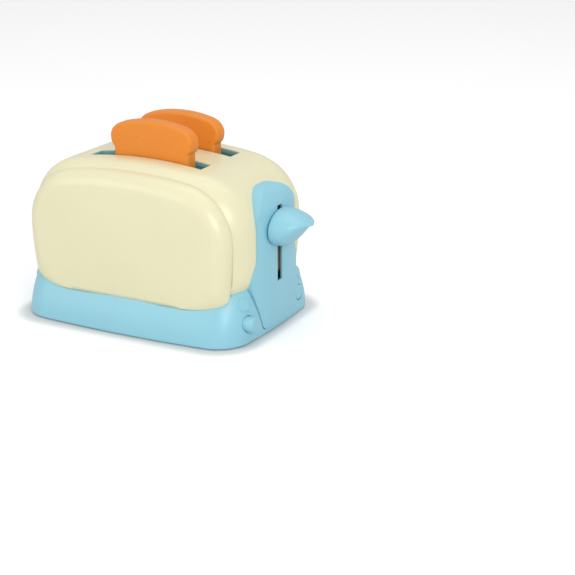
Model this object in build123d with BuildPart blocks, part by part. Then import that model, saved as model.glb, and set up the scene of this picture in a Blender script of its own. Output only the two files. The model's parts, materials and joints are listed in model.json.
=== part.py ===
from build123d import *
from math import atan2, cos, pi, sin, sqrt
import os

# A toy toaster with two bread slots. +X is the lever end, +Z is up, and the origin is the
# middle of the plinth's underside. Left is +Y, right is -Y, as seen looking along +X.

os.makedirs("parts", exist_ok=True)

# ---------------------------------------------------------------- body hood
body_half_length = 92.5
body_half_width = 50.0        # at the crease between hood and side panel
body_height = 124.3
top_arch_radius = 335.0       # the deck's long arch
shoulder_radius = 42.0
end_bend_start = 25.9         # where the ends begin to bend round towards the crease
end_bend_radius = 40.0
top_bend_start = 36.3         # the same for the deck
top_bend_radius = 20.0
foot_bend_z = 50.0            # below this the hood's ends curve in towards the plinth
foot_bend_radius = 20.0
foot_bend_drop = 14.0
bend_stations = 6
body_wall = 3.0

# ---------------------------------------------------------------- side panels
side_panel_depth = 12.0       # from the crease out to the flat of the panel
side_panel_roll = 14.0        # width of the rounded border
side_panel_foot_inset = 11.0  # how much narrower the panel's face is at its foot
side_panel_crease_inset = 4.5 # the same at the crease
side_panel_wall = 2.6
side_panel_boss_radius = 4.0
side_screw_x = 56.0
side_screw_low = 44.0
side_screw_high = 96.0

# ---------------------------------------------------------------- plinth, a bell-shaped skirt
base_end_step = 2.5           # how far the plinth's foot stands out past the hood's ends
base_side_step = 7.3          # the same past the side panels
base_half_length = body_half_length + base_end_step
base_half_width = body_half_width + side_panel_depth + base_side_step
base_end_bow = 3.9            # how far each end wall swells outward at its middle
base_side_bow = 4.6           # the same on each long side
base_corner_radius = 26.0
base_corner_draw = 4.0        # how much tighter the corners are at the reference height
bell_height = 46.0            # height at which the bell shape is cut off, inside the body
bell_end_draw = 4.6           # how far the ends have drawn in at the reference height
bell_side_draw = 16.0         # the same on the long sides
bell_reference = 40.0
bell_power = 2.0
bell_stations = 6
base_wall = 4.2
shelf_z = 26.0                # the body's shells stand on this shelf
shelf_thickness = 2.5
shelf_opening_half_width = 32.0
shelf_opening_back = -54.0
shelf_opening_front = base_half_length - 13.0
boss_radius = 5.0             # faint round boss on each corner
boss_height = 0.6
boss_root = 3.0
boss_x = base_half_length - 5.4
boss_y = 42.0
boss_z = 29.6
boss_lean = 0.36              # how far it faces sideways and upward, against 1 along X

# ---------------------------------------------------------------- bread slots and wells
slot_half_length = 47.8
slot_inner = 13.6
slot_outer = 28.9
slot_corner_radius = 1.5
well_clearance = 0.4          # the well's mouth is this much larger than the slot
well_wall = 1.6
well_foot_z = 33.0
well_ear_reach = 9.0
well_ear_z = body_height - 24.3
well_ear_thickness = 3.0
well_boss_radius = 4.0
seat_clearance = 0.1          # between shells that are seated on each other

# ---------------------------------------------------------------- end panels
panel_proud = 3.8             # how far the panel's face stands out past the hood's end
panel_face_x = body_half_length + panel_proud
panel_flat_half_width = 8.0   # the panel's face is flat this far, then bows back
panel_bow_radius = 80.0
panel_head_z = body_height - 14.8
rear_panel_drop = 9.0         # the rear panel's head is this much lower
panel_brow_radius = 17.5      # the face curves back above this height
panel_brow_z = panel_head_z - 15.5
panel_head_half_width = 29.3
panel_head_radius = 24.0
panel_waist_z = 60.5
panel_flare_z = 46.0
panel_flare_half_width = 34.6
panel_seam_z = 39.0
panel_toe_z = 10.5
panel_toe_half_width = 23.8
panel_foot_z = 5.2
panel_foot_half_width = 19.0
panel_seat_depth = 1.6        # how deep the panel's foot is let into the plinth's wall
panel_gap = 0.25
panel_back_x = panel_face_x - 30.0
lever_slot_half_width = 2.9
lever_slot_low = 37.1
lever_slot_high = 94.3
lever_slot_margin = 0.7       # the hood's own slot is this much wider all round
panel_screw_y = 18.0
panel_screw_low = 55.0
panel_screw_high = 75.0
panel_screw_bite = 2.0

# ---------------------------------------------------------------- carriage and lever
travel = 30.0                 # downward stroke of the carriage
rod_radius = 2.0
rod_spacing = 68.0
rod_foot_z = 3.0
rod_top_z = body_height - 14.3
rod_fit = 0.08                # radial clearance of the carriage's bushes on the rods
bush_radius = 4.5
bush_low = 56.0
bush_high = 74.2
stop_gap = 0.3
beam_half_width = 4.0
beam_low = 58.0
beam_high = 70.0
beam_back = -40.0
beam_front = body_half_length - 10.0
arm_x = 22.0
arm_half_width = 3.0
arm_low = 66.0
arm_high = 69.0
arm_clearance = 1.0
rest_half_length = 38.0
rest_half_width = 5.0
rest_top = 72.0
fork_back = 64.0
lever_half_thickness = 1.2
lever_side_gap = 0.1
lever_tongue_back = 65.0
lever_tongue_low = 60.0
lever_tongue_high = 69.0
lever_riser_back = 76.0
lever_blade_low = 68.0
lever_blade_high = 92.0
knob_gap = 0.5                # between the panel's face and the knob's flat back
lever_stem = 11.2             # how far the lever reaches into the knob
lever_tip_x = panel_face_x + knob_gap + lever_stem
lever_tip_low = 72.5
lever_tip_high = 85.5
lever_pin_x = 72.0
lever_pin_z = 64.0
lever_pin_radius = 1.5

# ---------------------------------------------------------------- knob
knob_length = 26.1
knob_half_width = 20.4
knob_side_power = 2.2         # how long the sides stay wide before they draw in
knob_side_bluntness = 0.62
knob_top_z = 92.3             # the top sweeps down from here to the tip
knob_top_fall = 9.8
knob_top_power = 2.5
knob_low_z = 64.5             # the underside sweeps up, hollow under the tip
knob_low_rise = 17.3
knob_low_power = 1.45
knob_tip_share = 0.99         # share of the length at which the tip is cut flat
knob_rim_fillet = 0.8
knob_stations = 9

# ---------------------------------------------------------------- latch, buttons and springs
release_button_y = 41.5
pretend_button_y = 37.0
button_z = 15.5
button_radius = 5.8
button_bore_gap = 0.45
release_button_proud = 3.5    # the release button stands out past the plinth's end
pretend_button_sink = 1.8     # the pretend one lies flush with the curve of the corner
button_rim_fillet = 1.1
button_flange_x = base_half_length - 10.5
button_flange_thickness = 2.0
button_flange_radius = 7.4
button_travel = 2.5
latch_low = 10.5
latch_high = 16.0
latch_head_z = button_z + 3.5
latch_back = 58.0
latch_half_width = 5.0
latch_bar_end = 6.0
latch_lip_low = 17.6
latch_lip_high = 20.4
latch_lip_front = 68.6
latch_post_back = 60.0
latch_post_front = 66.0
latch_bar_front = 66.0
catch_nose_back = 69.0
catch_nose_height = 3.0
catch_back = 71.0
catch_front = 76.0
catch_half_width = 3.5
catch_low = 44.0
spring_turns = 8
spring_wire_radius = 0.45
small_spring_radius = 2.6
small_spring_length = 11.0
return_spring_radius = 3.3
rod_socket_top = 8.0
rod_socket_radius = 4.5
spring_wall_thickness = 3.0

# ---------------------------------------------------------------- bottom plate and screws
plate_low = 2.2
plate_high = 4.8
plate_gap = 0.3
plate_screw_x = base_half_length - 57.0
plate_screw_y = base_half_width - 22.3
plate_side_screw_y = base_half_width - 13.3
plate_post_radius = 4.5
body_screw_x = 60.0
body_screw_y = body_half_width - 9.0
screw_radius = 1.4
screw_head_radius = 2.8
screw_head_height = 1.8
screw_hole_gap = 0.3
slide_gap = 0.25
rail_thickness = 2.0

# ---------------------------------------------------------------- toast
toast_height = 79.0
toast_half_width = 34.9
toast_neck_half_width = 31.7
toast_foot_half_width = 32.6
toast_neck_z = 59.5           # above the toast's own foot
toast_cheek_z = 67.0
toast_thickness = 12.0
toast_edge_radius = 3.6
toast_shift = {"right": 4.5, "left": 1.5}

sides = {"right": -1, "left": 1}
slot_middle = (slot_inner + slot_outer) / 2


# ================================================================ helpers
def block(x, y, z, mode=Mode.ADD):
    """A box between two values of x, of y and of z, in the part being built."""
    with Locations(((x[0] + x[1]) / 2, (y[0] + y[1]) / 2, (z[0] + z[1]) / 2)):
        Box(x[1] - x[0], y[1] - y[0], z[1] - z[0], mode=mode)


def rod_z(x, y, z, radius, mode=Mode.ADD):
    """An upright cylinder between two heights."""
    with Locations((x, y, (z[0] + z[1]) / 2)):
        Cylinder(radius, z[1] - z[0], mode=mode)


def rod_x(x, y, z, radius, mode=Mode.ADD):
    """A cylinder along X between two values of x."""
    with Locations(((x[0] + x[1]) / 2, y, z)):
        Cylinder(radius, x[1] - x[0], rotation=(0, 90, 0), mode=mode)


def rod_y(x, y, z, radius, mode=Mode.ADD):
    """A cylinder along Y between two values of y."""
    with Locations((x, (y[0] + y[1]) / 2, z)):
        Cylinder(radius, y[1] - y[0], rotation=(90, 0, 0), mode=mode)


def bend(distance, start, radius):
    """How far a surface has dropped where it bends away on an arc that begins at start."""
    run = max(distance - start, 0.0)
    return radius - sqrt(radius**2 - run**2)


def save(part, name):
    """Labels a finished piece and writes it."""
    part.label = name
    export_step(part, f"parts/{name}.step")
    print(name, round(part.volume / 1000, 2), "cm3")


# ================================================================ master shapes
def bell_section(z, inset):
    """The plinth's outline at a height: a rectangle with bowed sides and round corners."""
    draw = (z / bell_reference) ** bell_power
    length = base_half_length - bell_end_draw * draw - inset
    width = base_half_width - bell_side_draw * draw - inset
    corner_x = length - base_end_bow
    corner_y = width - base_side_bow
    with BuildSketch(Plane.XY.offset(z)) as section:
        with BuildLine():
            ThreePointArc((corner_x, -corner_y), (length, 0), (corner_x, corner_y))
            ThreePointArc((corner_x, corner_y), (0, width), (-corner_x, corner_y))
            ThreePointArc((-corner_x, corner_y), (-length, 0), (-corner_x, -corner_y))
            ThreePointArc((-corner_x, -corner_y), (0, -width), (corner_x, -corner_y))
        make_face()
        fillet(section.vertices(), base_corner_radius - base_corner_draw * draw - inset)
    return section.sketch


def bell(inset, low, high):
    """The plinth's bell shape, or a smaller one inside it, between two heights."""
    steps = [low + (high - low) * k / bell_stations for k in range(bell_stations + 1)]
    with BuildPart() as shape:
        loft(sections=[bell_section(z, inset) for z in steps])
    return shape.part


def loaf_section(y, wall, low):
    """The hood's outline at one y, or its inner surface's, a wall further in."""
    half = body_half_length - bend(abs(y), end_bend_start, end_bend_radius) - wall
    height = body_height - bend(abs(y), top_bend_start, top_bend_radius) - wall
    arch_z = height - top_arch_radius
    shoulder_x = half - shoulder_radius
    shoulder_z = arch_z + sqrt((top_arch_radius - shoulder_radius) ** 2 - shoulder_x**2)
    tilt = atan2(shoulder_z - arch_z, shoulder_x)
    meet = (top_arch_radius * cos(tilt), arch_z + top_arch_radius * sin(tilt))
    shoulder = (
        shoulder_x + shoulder_radius * cos(tilt / 2),
        shoulder_z + shoulder_radius * sin(tilt / 2),
    )
    drop = foot_bend_drop
    foot_x = half - bend(drop, 0, foot_bend_radius)
    knee_x = half - bend(drop / 2, 0, foot_bend_radius)
    place = y * (1 - wall / body_half_width)
    with BuildSketch(Plane.XZ.offset(-place)) as section:
        with BuildLine():
            ThreePointArc((-meet[0], meet[1]), (0, height), meet)
            ThreePointArc(meet, shoulder, (half, shoulder_z))
            Line((half, shoulder_z), (half, foot_bend_z))
            ThreePointArc(
                (half, foot_bend_z), (knee_x, foot_bend_z - drop / 2), (foot_x, foot_bend_z - drop)
            )
            Line((foot_x, foot_bend_z - drop), (foot_x, low))
            Line((foot_x, low), (-foot_x, low))
            Line((-foot_x, low), (-foot_x, foot_bend_z - drop))
            ThreePointArc(
                (-foot_x, foot_bend_z - drop),
                (-knee_x, foot_bend_z - drop / 2),
                (-half, foot_bend_z),
            )
            Line((-half, foot_bend_z), (-half, shoulder_z))
            ThreePointArc((-half, shoulder_z), (-shoulder[0], shoulder[1]), (-meet[0], meet[1]))
        make_face()
    return section.sketch


def loaf(wall, low):
    """The hood's solid shape, or the space inside it."""
    run = body_half_width - end_bend_start
    bent = [end_bend_start + run * k / bend_stations for k in range(bend_stations + 1)]
    half = [end_bend_start / 2] + bent
    stations = [-y for y in reversed(half)] + half
    with BuildPart() as shape:
        loft(sections=[loaf_section(y, wall, low) for y in stations])
    return shape.part


def side_section(rise, side, wall):
    """The side panel's outline part of the way out from the crease, from 0 to 1."""
    roll = side_panel_roll * (1 - sqrt(1 - rise**2))
    crease = body_half_width
    half = body_half_length - bend(crease, end_bend_start, end_bend_radius) - roll - wall
    height = body_height - bend(crease, top_bend_start, top_bend_radius) - roll - wall
    low = shelf_z + max(wall, 0)
    arch_z = height - top_arch_radius
    shoulder_x = half - shoulder_radius + roll
    radius = shoulder_radius - roll
    shoulder_z = arch_z + sqrt((top_arch_radius - radius) ** 2 - shoulder_x**2)
    tilt = atan2(shoulder_z - arch_z, shoulder_x)
    meet = (top_arch_radius * cos(tilt), arch_z + top_arch_radius * sin(tilt))
    shoulder = (shoulder_x + radius * cos(tilt / 2), shoulder_z + radius * sin(tilt / 2))
    spread = side_panel_foot_inset - side_panel_crease_inset
    inset = side_panel_crease_inset + spread * roll / side_panel_roll
    middle = (half - inset / 4, (shoulder_z + low) / 2)
    foot_x = half - inset
    depth = (side_panel_depth - wall) * rise
    with BuildSketch(Plane.XZ.offset(-side * (crease + depth))) as section:
        with BuildLine():
            ThreePointArc((-meet[0], meet[1]), (0, height), meet)
            ThreePointArc(meet, shoulder, (half, shoulder_z))
            ThreePointArc((half, shoulder_z), middle, (foot_x, low))
            Line((foot_x, low), (-foot_x, low))
            ThreePointArc((-foot_x, low), (-middle[0], middle[1]), (-half, shoulder_z))
            ThreePointArc((-half, shoulder_z), (-shoulder[0], shoulder[1]), (-meet[0], meet[1]))
        make_face()
    return section.sketch


def side_pillow(side, wall):
    """The side panel's solid shape, or the hollow behind it."""
    rises = [sin(k * pi / 2 / bend_stations) for k in range(bend_stations + 1)]
    with BuildPart() as shape:
        loft(sections=[side_section(rise, side, wall) for rise in rises])
    return shape.part


def panel_outline(head_z, grow):
    """The end panel's outline seen along X: head, waist, flare and let-in foot."""
    head = panel_head_half_width + grow
    flare = panel_flare_half_width + grow
    toe = panel_toe_half_width + grow
    foot_z = panel_foot_z - grow
    head_y = panel_head_half_width - panel_head_radius
    side_z = head_z - panel_head_radius
    with BuildSketch(Plane.YZ) as outline:
        with BuildLine():
            Line((0, head_z + grow), (head_y, head_z + grow))
            CenterArc((head_y, side_z), panel_head_radius + grow, 0, 90)
            Line((head, side_z), (head, panel_waist_z))
            Spline((head, panel_waist_z), (flare, panel_flare_z), tangents=((0, -1), (0, -1)))
            Line((flare, panel_flare_z), (flare, panel_seam_z))
            Line((flare, panel_seam_z), (toe, panel_toe_z))
            Spline(
                (toe, panel_toe_z),
                (panel_foot_half_width, foot_z),
                tangents=((-0.35, -1), (-1, 0)),
            )
            Line((panel_foot_half_width, foot_z), (0, foot_z))
            mirror(about=Plane.YZ)
        make_face()
    return outline.sketch


def panel_blank(end, grow):
    """The end panel's block with its bowed face, before it is fitted to what it covers."""
    face = panel_face_x + grow
    drop = rear_panel_drop if end < 0 else 0
    brow_z = panel_brow_z - drop
    with BuildPart() as blank:
        extrude(to_extrude=panel_outline(panel_head_z - drop, grow), amount=face + 1)
        with BuildSketch(Plane.XZ) as profile:
            with BuildLine():
                Polyline((panel_back_x, 0), (face, 0), (face, brow_z))
                CenterArc((face - panel_brow_radius, brow_z), panel_brow_radius, 0, 90)
                Polyline(
                    (face - panel_brow_radius, brow_z + panel_brow_radius),
                    (panel_back_x, brow_z + panel_brow_radius),
                    (panel_back_x, 0),
                )
            make_face()
        extrude(to_extrude=profile.sketch, amount=base_half_width, both=True, mode=Mode.INTERSECT)
        reach = panel_flare_half_width + 2 * panel_seat_depth
        side_x = face - bend(reach, panel_flat_half_width, panel_bow_radius)
        half_run = (panel_flat_half_width + reach) / 2
        half_x = face - bend(half_run, panel_flat_half_width, panel_bow_radius)
        with BuildSketch() as plan:
            with BuildLine():
                Line((face, -panel_flat_half_width), (face, panel_flat_half_width))
                ThreePointArc((face, panel_flat_half_width), (half_x, half_run), (side_x, reach))
                Polyline(
                    (side_x, reach), (panel_back_x, reach), (panel_back_x, -reach), (side_x, -reach)
                )
                ThreePointArc((side_x, -reach), (half_x, -half_run), (face, -panel_flat_half_width))
            make_face()
        extrude(to_extrude=plan.sketch, amount=body_height, mode=Mode.INTERSECT)
    if end < 0:
        return mirror(blank.part, about=Plane.YZ, mode=Mode.PRIVATE)
    return blank.part


def lever_slot_cut():
    """Cuts the lever's way through a shell behind the front panel."""
    half = lever_slot_half_width + lever_slot_margin
    low = lever_slot_low - lever_slot_margin
    block(
        (lever_riser_back, panel_face_x),
        (-half, half),
        (low, lever_slot_high + lever_slot_margin),
        Mode.SUBTRACT,
    )


def screw(seat, out, length):
    """A pan-head screw: its seat point, the way its shank runs, and the shank's length."""
    with Locations(Plane(origin=seat, z_dir=out)):
        Cylinder(screw_radius, length, align=(Align.CENTER, Align.CENTER, Align.MIN))
        Cylinder(
            screw_head_radius, screw_head_height, align=(Align.CENTER, Align.CENTER, Align.MAX)
        )


def coil(radius, turns, length):
    """A coil spring standing on the origin, its ends flush with the two planes it fills."""
    rise = length - 2 * spring_wire_radius
    with BuildPart() as spring:
        with BuildLine() as path:
            Helix(rise / turns, rise, radius, center=(0, 0, spring_wire_radius))
        with BuildSketch(Plane(origin=path.line @ 0, z_dir=path.line % 0)):
            Circle(spring_wire_radius)
        sweep(is_frenet=True)
    return spring.part


# ================================================================ shells
hood_fit = loaf(-seat_clearance, shelf_z)
pillow_fit = {side: side_pillow(side, -seat_clearance) for side in sides.values()}
shank_hole = screw_radius + screw_hole_gap
pilot_hole = screw_radius + 0.03
screw_corners = [(x, y) for x in (-1, 1) for y in (-1, 1)]
rods_x = (-rod_spacing / 2, rod_spacing / 2)

with BuildPart() as body_hood:
    add(loaf(0, shelf_z))
    add(loaf(body_wall, shelf_z - 1), mode=Mode.SUBTRACT)
    for side in sides.values():
        # the mouth of a bread slot, and the posts its well is screwed up to
        with BuildSketch(Plane.XY.offset(well_ear_z)) as mouth:
            with Locations((0, side * slot_middle)):
                RectangleRounded(2 * slot_half_length, slot_outer - slot_inner, slot_corner_radius)
        extrude(to_extrude=mouth.sketch, amount=body_height, mode=Mode.SUBTRACT)
        for end in (-1, 1):
            x = end * (slot_half_length + well_ear_reach - 2.8)
            y = side * slot_middle
            top = well_ear_z + well_ear_thickness
            ceiling = body_height - bend(abs(x), 0, top_arch_radius) - body_wall / 2
            rod_z(x, y, (top, ceiling), well_boss_radius)
            rod_z(x, y, (top - 1, top + 9.5), pilot_hole, Mode.SUBTRACT)
            # the post that takes a screw from the plinth, with a rib to the side wall
            x = end * body_screw_x
            y = side * body_screw_y
            rod_z(x, y, (shelf_z, shelf_z + 14), plate_post_radius)
            wall_y = side * (body_half_width - body_wall / 2)
            block((x - 1, x + 1), (min(y, wall_y), max(y, wall_y)), (shelf_z, shelf_z + 14))
            rod_z(x, y, (shelf_z - 1, shelf_z + 11), pilot_hole, Mode.SUBTRACT)
            # holes for the screws of the side panel and of the end panel
            for z in (side_screw_low, side_screw_high):
                edge = (side * body_half_width, side * (body_half_width - 2 * body_wall))
                rod_y(end * side_screw_x, (min(edge), max(edge)), z, shank_hole, Mode.SUBTRACT)
            for z in (panel_screw_low, panel_screw_high):
                edge = (end * (body_half_length + 1), end * (body_half_length - 2 * body_wall))
                rod_x((min(edge), max(edge)), side * panel_screw_y, z, shank_hole, Mode.SUBTRACT)
    for x in rods_x:
        ceiling = body_height - bend(abs(x), 0, top_arch_radius) - body_wall / 2
        rod_z(x, 0, (bush_high + stop_gap, ceiling), bush_radius)
        rod_z(x, 0, (bush_high, rod_top_z + 2), rod_radius + 0.05, Mode.SUBTRACT)
    lever_slot_cut()
save(body_hood.part, "body_hood")

for hand, side in sides.items():
    with BuildPart() as side_panel:
        add(side_pillow(side, 0))
        with BuildPart(mode=Mode.PRIVATE) as hollow:
            add(side_pillow(side, side_panel_wall))
        add(hollow.part, mode=Mode.SUBTRACT)
        for end in (-1, 1):
            for z in (side_screw_low, side_screw_high):
                foot = side * body_half_width
                face = side * (body_half_width + side_panel_depth - 1)
                deep = side * (body_half_width + side_panel_depth - 3)
                rod_y(
                    end * side_screw_x, (min(foot, face), max(foot, face)), z,
                    side_panel_boss_radius,
                )
                rod_y(
                    end * side_screw_x, (min(foot, deep), max(foot, deep)), z, pilot_hole,
                    Mode.SUBTRACT,
                )
    save(side_panel.part, f"side_panel_{hand}")

    # the well that lines a bread slot, open upward, notched for the carriage's arms
    inner = slot_inner - well_clearance
    outer = slot_outer + well_clearance
    length = slot_half_length + well_clearance
    near = side * (inner - well_wall)
    far = side * (outer + well_wall)
    with BuildPart() as bread_well:
        block(
            (-length - well_wall, length + well_wall),
            (min(near, far), max(near, far)),
            (well_foot_z, body_height),
        )
        for end in (-1, 1):
            mouth_x = end * length
            tip_x = end * (length + well_ear_reach)
            block(
                (min(mouth_x, tip_x), max(mouth_x, tip_x)),
                (side * slot_middle - well_boss_radius, side * slot_middle + well_boss_radius),
                (well_ear_z, well_ear_z + well_ear_thickness),
            )
        add(loaf(body_wall + seat_clearance, shelf_z - 1), mode=Mode.INTERSECT)
        near = side * inner
        far = side * outer
        block(
            (-length, length),
            (min(near, far), max(near, far)),
            (well_foot_z + well_wall, body_height),
            Mode.SUBTRACT,
        )
        for end in (-1, 1):
            x = end * (slot_half_length + well_ear_reach - 2.8)
            y = side * slot_middle
            rod_z(x, y, (well_ear_z - 1, well_ear_z + well_ear_thickness + 1), shank_hole, Mode.SUBTRACT)
            half = arm_half_width + arm_clearance
            back = side * (inner - well_wall - 1)
            front = side * (inner + 0.5)
            block(
                (end * arm_x - half, end * arm_x + half),
                (min(back, front), max(back, front)),
                (well_foot_z - 1, rest_top + 1),
                Mode.SUBTRACT,
            )
            front = side * (slot_middle + rest_half_width + arm_clearance + 1)
            block(
                (end * arm_x - half, end * arm_x + half),
                (min(back, front), max(back, front)),
                (well_foot_z - 1, well_foot_z + well_wall + 1),
                Mode.SUBTRACT,
            )
    save(bread_well.part, f"bread_well_{hand}")

# ================================================================ plinth and bottom plate
button_places = {"release_button": -release_button_y, "pretend_button": pretend_button_y}
button_faces = {
    "release_button": base_half_length + release_button_proud,
    "pretend_button": base_half_length - pretend_button_sink,
}
cavity_low = -1.0
shelf_low = shelf_z - shelf_thickness

with BuildPart() as base_plinth:
    add(bell(0, 0, bell_height))
    for end, side in screw_corners:
        facing = (end, side * boss_lean, boss_lean)
        seat = Plane(origin=(end * boss_x, side * boss_y, boss_z), z_dir=facing)
        with BuildSketch(seat.offset(-boss_root)) as disc:
            Circle(boss_radius)
        extrude(to_extrude=disc.sketch, amount=boss_root + boss_height)
    add(hood_fit, mode=Mode.SUBTRACT)
    for side, pillow in pillow_fit.items():
        add(pillow, mode=Mode.SUBTRACT)
        # the long sides bow outward: no thin lip is left standing in front of the panel
        inside = side * (body_half_width + side_panel_depth / 2)
        outside = side * base_half_width
        block(
            (-body_half_length / 2, body_half_length / 2),
            (min(inside, outside), max(inside, outside)),
            (shelf_z - seat_clearance, bell_height),
            Mode.SUBTRACT,
        )
    add(bell(base_wall, cavity_low, shelf_low), mode=Mode.SUBTRACT)
    block(
        (shelf_opening_back, shelf_opening_front),
        (-shelf_opening_half_width, shelf_opening_half_width),
        (shelf_low - 1, shelf_z + 1),
        Mode.SUBTRACT,
    )
    for end in (-1, 1):
        with BuildPart(mode=Mode.PRIVATE) as recess:
            add(panel_blank(end, panel_gap))
            add(bell(panel_seat_depth + seat_clearance, cavity_low, bell_height), mode=Mode.SUBTRACT)
        add(recess.part, mode=Mode.SUBTRACT)
    lever_slot_cut()
    for y in button_places.values():
        rod_x((button_flange_x - 1, base_half_length + 2), y, button_z,
              button_radius + button_bore_gap, Mode.SUBTRACT)
    with BuildPart(mode=Mode.PRIVATE) as posts:
        for end, side in screw_corners:
            rod_z(end * plate_screw_x, side * plate_screw_y, (plate_high, shelf_z - 1), plate_post_radius)
        for side in sides.values():
            rod_z(0, side * plate_side_screw_y, (plate_high, shelf_z - 1), plate_post_radius)
        add(bell(1, cavity_low, bell_height), mode=Mode.INTERSECT)
    add(posts.part)
    for end, side in screw_corners:
        rod_z(end * plate_screw_x, side * plate_screw_y, (0, shelf_low - 4), pilot_hole, Mode.SUBTRACT)
        rod_z(end * body_screw_x, side * body_screw_y, (shelf_low - 1, shelf_z + 1), shank_hole,
              Mode.SUBTRACT)
    for side in sides.values():
        rod_z(0, side * plate_side_screw_y, (0, shelf_low - 4), pilot_hole, Mode.SUBTRACT)
save(base_plinth.part, "base_plinth")

spring_back_x = latch_back - small_spring_length
pretend_back_x = button_flange_x - button_flange_thickness - small_spring_length
with BuildPart() as bottom_plate:
    add(bell(base_wall + plate_gap, plate_low, plate_high))
    for x in rods_x:
        rod_z(x, 0, (plate_low, rod_socket_top), rod_socket_radius)
        rod_z(x, 0, (rod_foot_z, rod_socket_top + 1), rod_radius + 0.03, Mode.SUBTRACT)
    # ribs the two small springs lean on
    for x, y in ((spring_back_x, -release_button_y), (pretend_back_x, pretend_button_y)):
        block(
            (x - spring_wall_thickness, x),
            (y - latch_half_width, y + latch_half_width),
            (plate_high - 1, button_z + latch_half_width),
        )
    # the latch slide's bed and its two rails
    guide = latch_half_width + slide_gap
    bed_top = latch_low - slide_gap
    bed_front = button_flange_x - button_flange_thickness - button_travel - 1
    block(
        (latch_back + 1, bed_front),
        (-release_button_y - latch_half_width, -release_button_y + latch_half_width),
        (plate_high - 1, bed_top),
    )
    block((latch_back + 1, latch_post_front), (-latch_bar_end, latch_bar_end), (plate_high - 1, bed_top))
    block(
        (latch_back, bed_front),
        (-release_button_y - guide - rail_thickness, -release_button_y - guide),
        (plate_high - 1, latch_high - 1),
    )
    block(
        (latch_post_front + slide_gap + 2, bed_front),
        (-release_button_y + guide, -release_button_y + guide + rail_thickness),
        (plate_high - 1, latch_high - 1),
    )
    for end, side in screw_corners:
        rod_z(end * plate_screw_x, side * plate_screw_y, (0, plate_high + 1), shank_hole, Mode.SUBTRACT)
    for side in sides.values():
        rod_z(0, side * plate_side_screw_y, (0, plate_high + 1), shank_hole, Mode.SUBTRACT)
save(bottom_plate.part, "bottom_plate")

# ================================================================ end panels
for name, end in (("front_panel", 1), ("rear_panel", -1)):
    with BuildPart() as panel:
        add(panel_blank(end, 0))
        add(hood_fit, mode=Mode.SUBTRACT)
        add(bell(panel_seat_depth, cavity_low, bell_height), mode=Mode.SUBTRACT)
        if name == "front_panel":
            block(
                (panel_back_x, panel_face_x + 1),
                (-lever_slot_half_width, lever_slot_half_width),
                (lever_slot_low, lever_slot_high),
                Mode.SUBTRACT,
            )
        for side in sides.values():
            for z in (panel_screw_low, panel_screw_high):
                deep = end * (body_half_length + panel_screw_bite)
                near = end * (body_half_length - body_wall)
                rod_x((min(deep, near), max(deep, near)), side * panel_screw_y, z, pilot_hole,
                      Mode.SUBTRACT)
    save(panel.part, name)

# ================================================================ carriage, lever, knob
rod_hole = rod_radius + rod_fit
fork_half = lever_half_thickness + lever_side_gap
with BuildPart() as bread_carriage:
    block((beam_back, beam_front), (-beam_half_width, beam_half_width), (beam_low, beam_high))
    for x in rods_x:
        rod_z(x, 0, (bush_low, bush_high), bush_radius)
    reach = slot_middle + rest_half_width + 0.7
    for x in (-arm_x, arm_x):
        block((x - arm_half_width, x + arm_half_width), (-reach, reach), (arm_low, arm_high))
    for side in sides.values():
        block(
            (-rest_half_length, rest_half_length),
            (side * slot_middle - rest_half_width, side * slot_middle + rest_half_width),
            (arm_high - 0.5, rest_top),
        )
    # the leg under the beam, with the nose that the latch holds
    block((catch_back, catch_front), (-catch_half_width, catch_half_width), (catch_low, beam_low + 1))
    block(
        (catch_nose_back, catch_back + 1),
        (-catch_half_width, catch_half_width),
        (catch_low, catch_low + catch_nose_height),
    )
    block((fork_back, beam_front + 1), (-fork_half, fork_half), (beam_low - 1, beam_high + 1), Mode.SUBTRACT)
    for x in rods_x:
        rod_z(x, 0, (bush_low - 1, bush_high + 1), rod_hole, Mode.SUBTRACT)
    rod_y(lever_pin_x, (-beam_half_width - 1, beam_half_width + 1), lever_pin_z,
          lever_pin_radius + 0.03, Mode.SUBTRACT)
save(bread_carriage.part, "bread_carriage")

knob_back_x = panel_face_x + knob_gap
with BuildPart() as lever_arm:
    thick = (-lever_half_thickness, lever_half_thickness)
    block((lever_tongue_back, beam_front), thick, (lever_tongue_low, lever_tongue_high))
    block((lever_riser_back, beam_front), thick, (lever_tongue_low, lever_blade_high))
    block((lever_riser_back, knob_back_x), thick, (lever_blade_low, lever_blade_high))
    block((knob_back_x - 1, lever_tip_x), thick, (lever_tip_low, lever_tip_high))
    rod_y(lever_pin_x, (-beam_half_width, beam_half_width), lever_pin_z, lever_pin_radius + 0.03,
          Mode.SUBTRACT)
save(lever_arm.part, "lever_arm")

with BuildPart() as lever_pin:
    rod_y(lever_pin_x, (-beam_half_width, beam_half_width), lever_pin_z, lever_pin_radius)
save(lever_pin.part, "lever_pin")

knob_steps = []
for k in range(knob_stations + 1):
    # the stations crowd towards the tip, where the shape turns fastest
    share = knob_tip_share * sin(pi / 2 * k / knob_stations)
    wide = knob_half_width * (1 - share**knob_side_power) ** knob_side_bluntness
    top = knob_top_z - knob_top_fall * share**knob_top_power
    low = knob_low_z + knob_low_rise * (1 - cos(pi * share**knob_low_power)) / 2
    x = knob_back_x + knob_length * share / knob_tip_share
    middle = (x, 0, (top + low) / 2)
    with BuildSketch(Plane(origin=middle, x_dir=(0, 1, 0), z_dir=(1, 0, 0))) as ring:
        Ellipse(wide, (top - low) / 2)
    knob_steps.append(ring.sketch)
with BuildPart() as lever_knob:
    loft(sections=knob_steps)
    fillet(lever_knob.edges().sort_by(Axis.X)[0], knob_rim_fillet)
    block(
        (knob_back_x - 1, lever_tip_x + 0.2),
        (-lever_half_thickness - 0.05, lever_half_thickness + 0.05),
        (lever_tip_low - 0.05, lever_tip_high + 0.05),
        Mode.SUBTRACT,
    )
save(lever_knob.part, "lever_knob")

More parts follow.
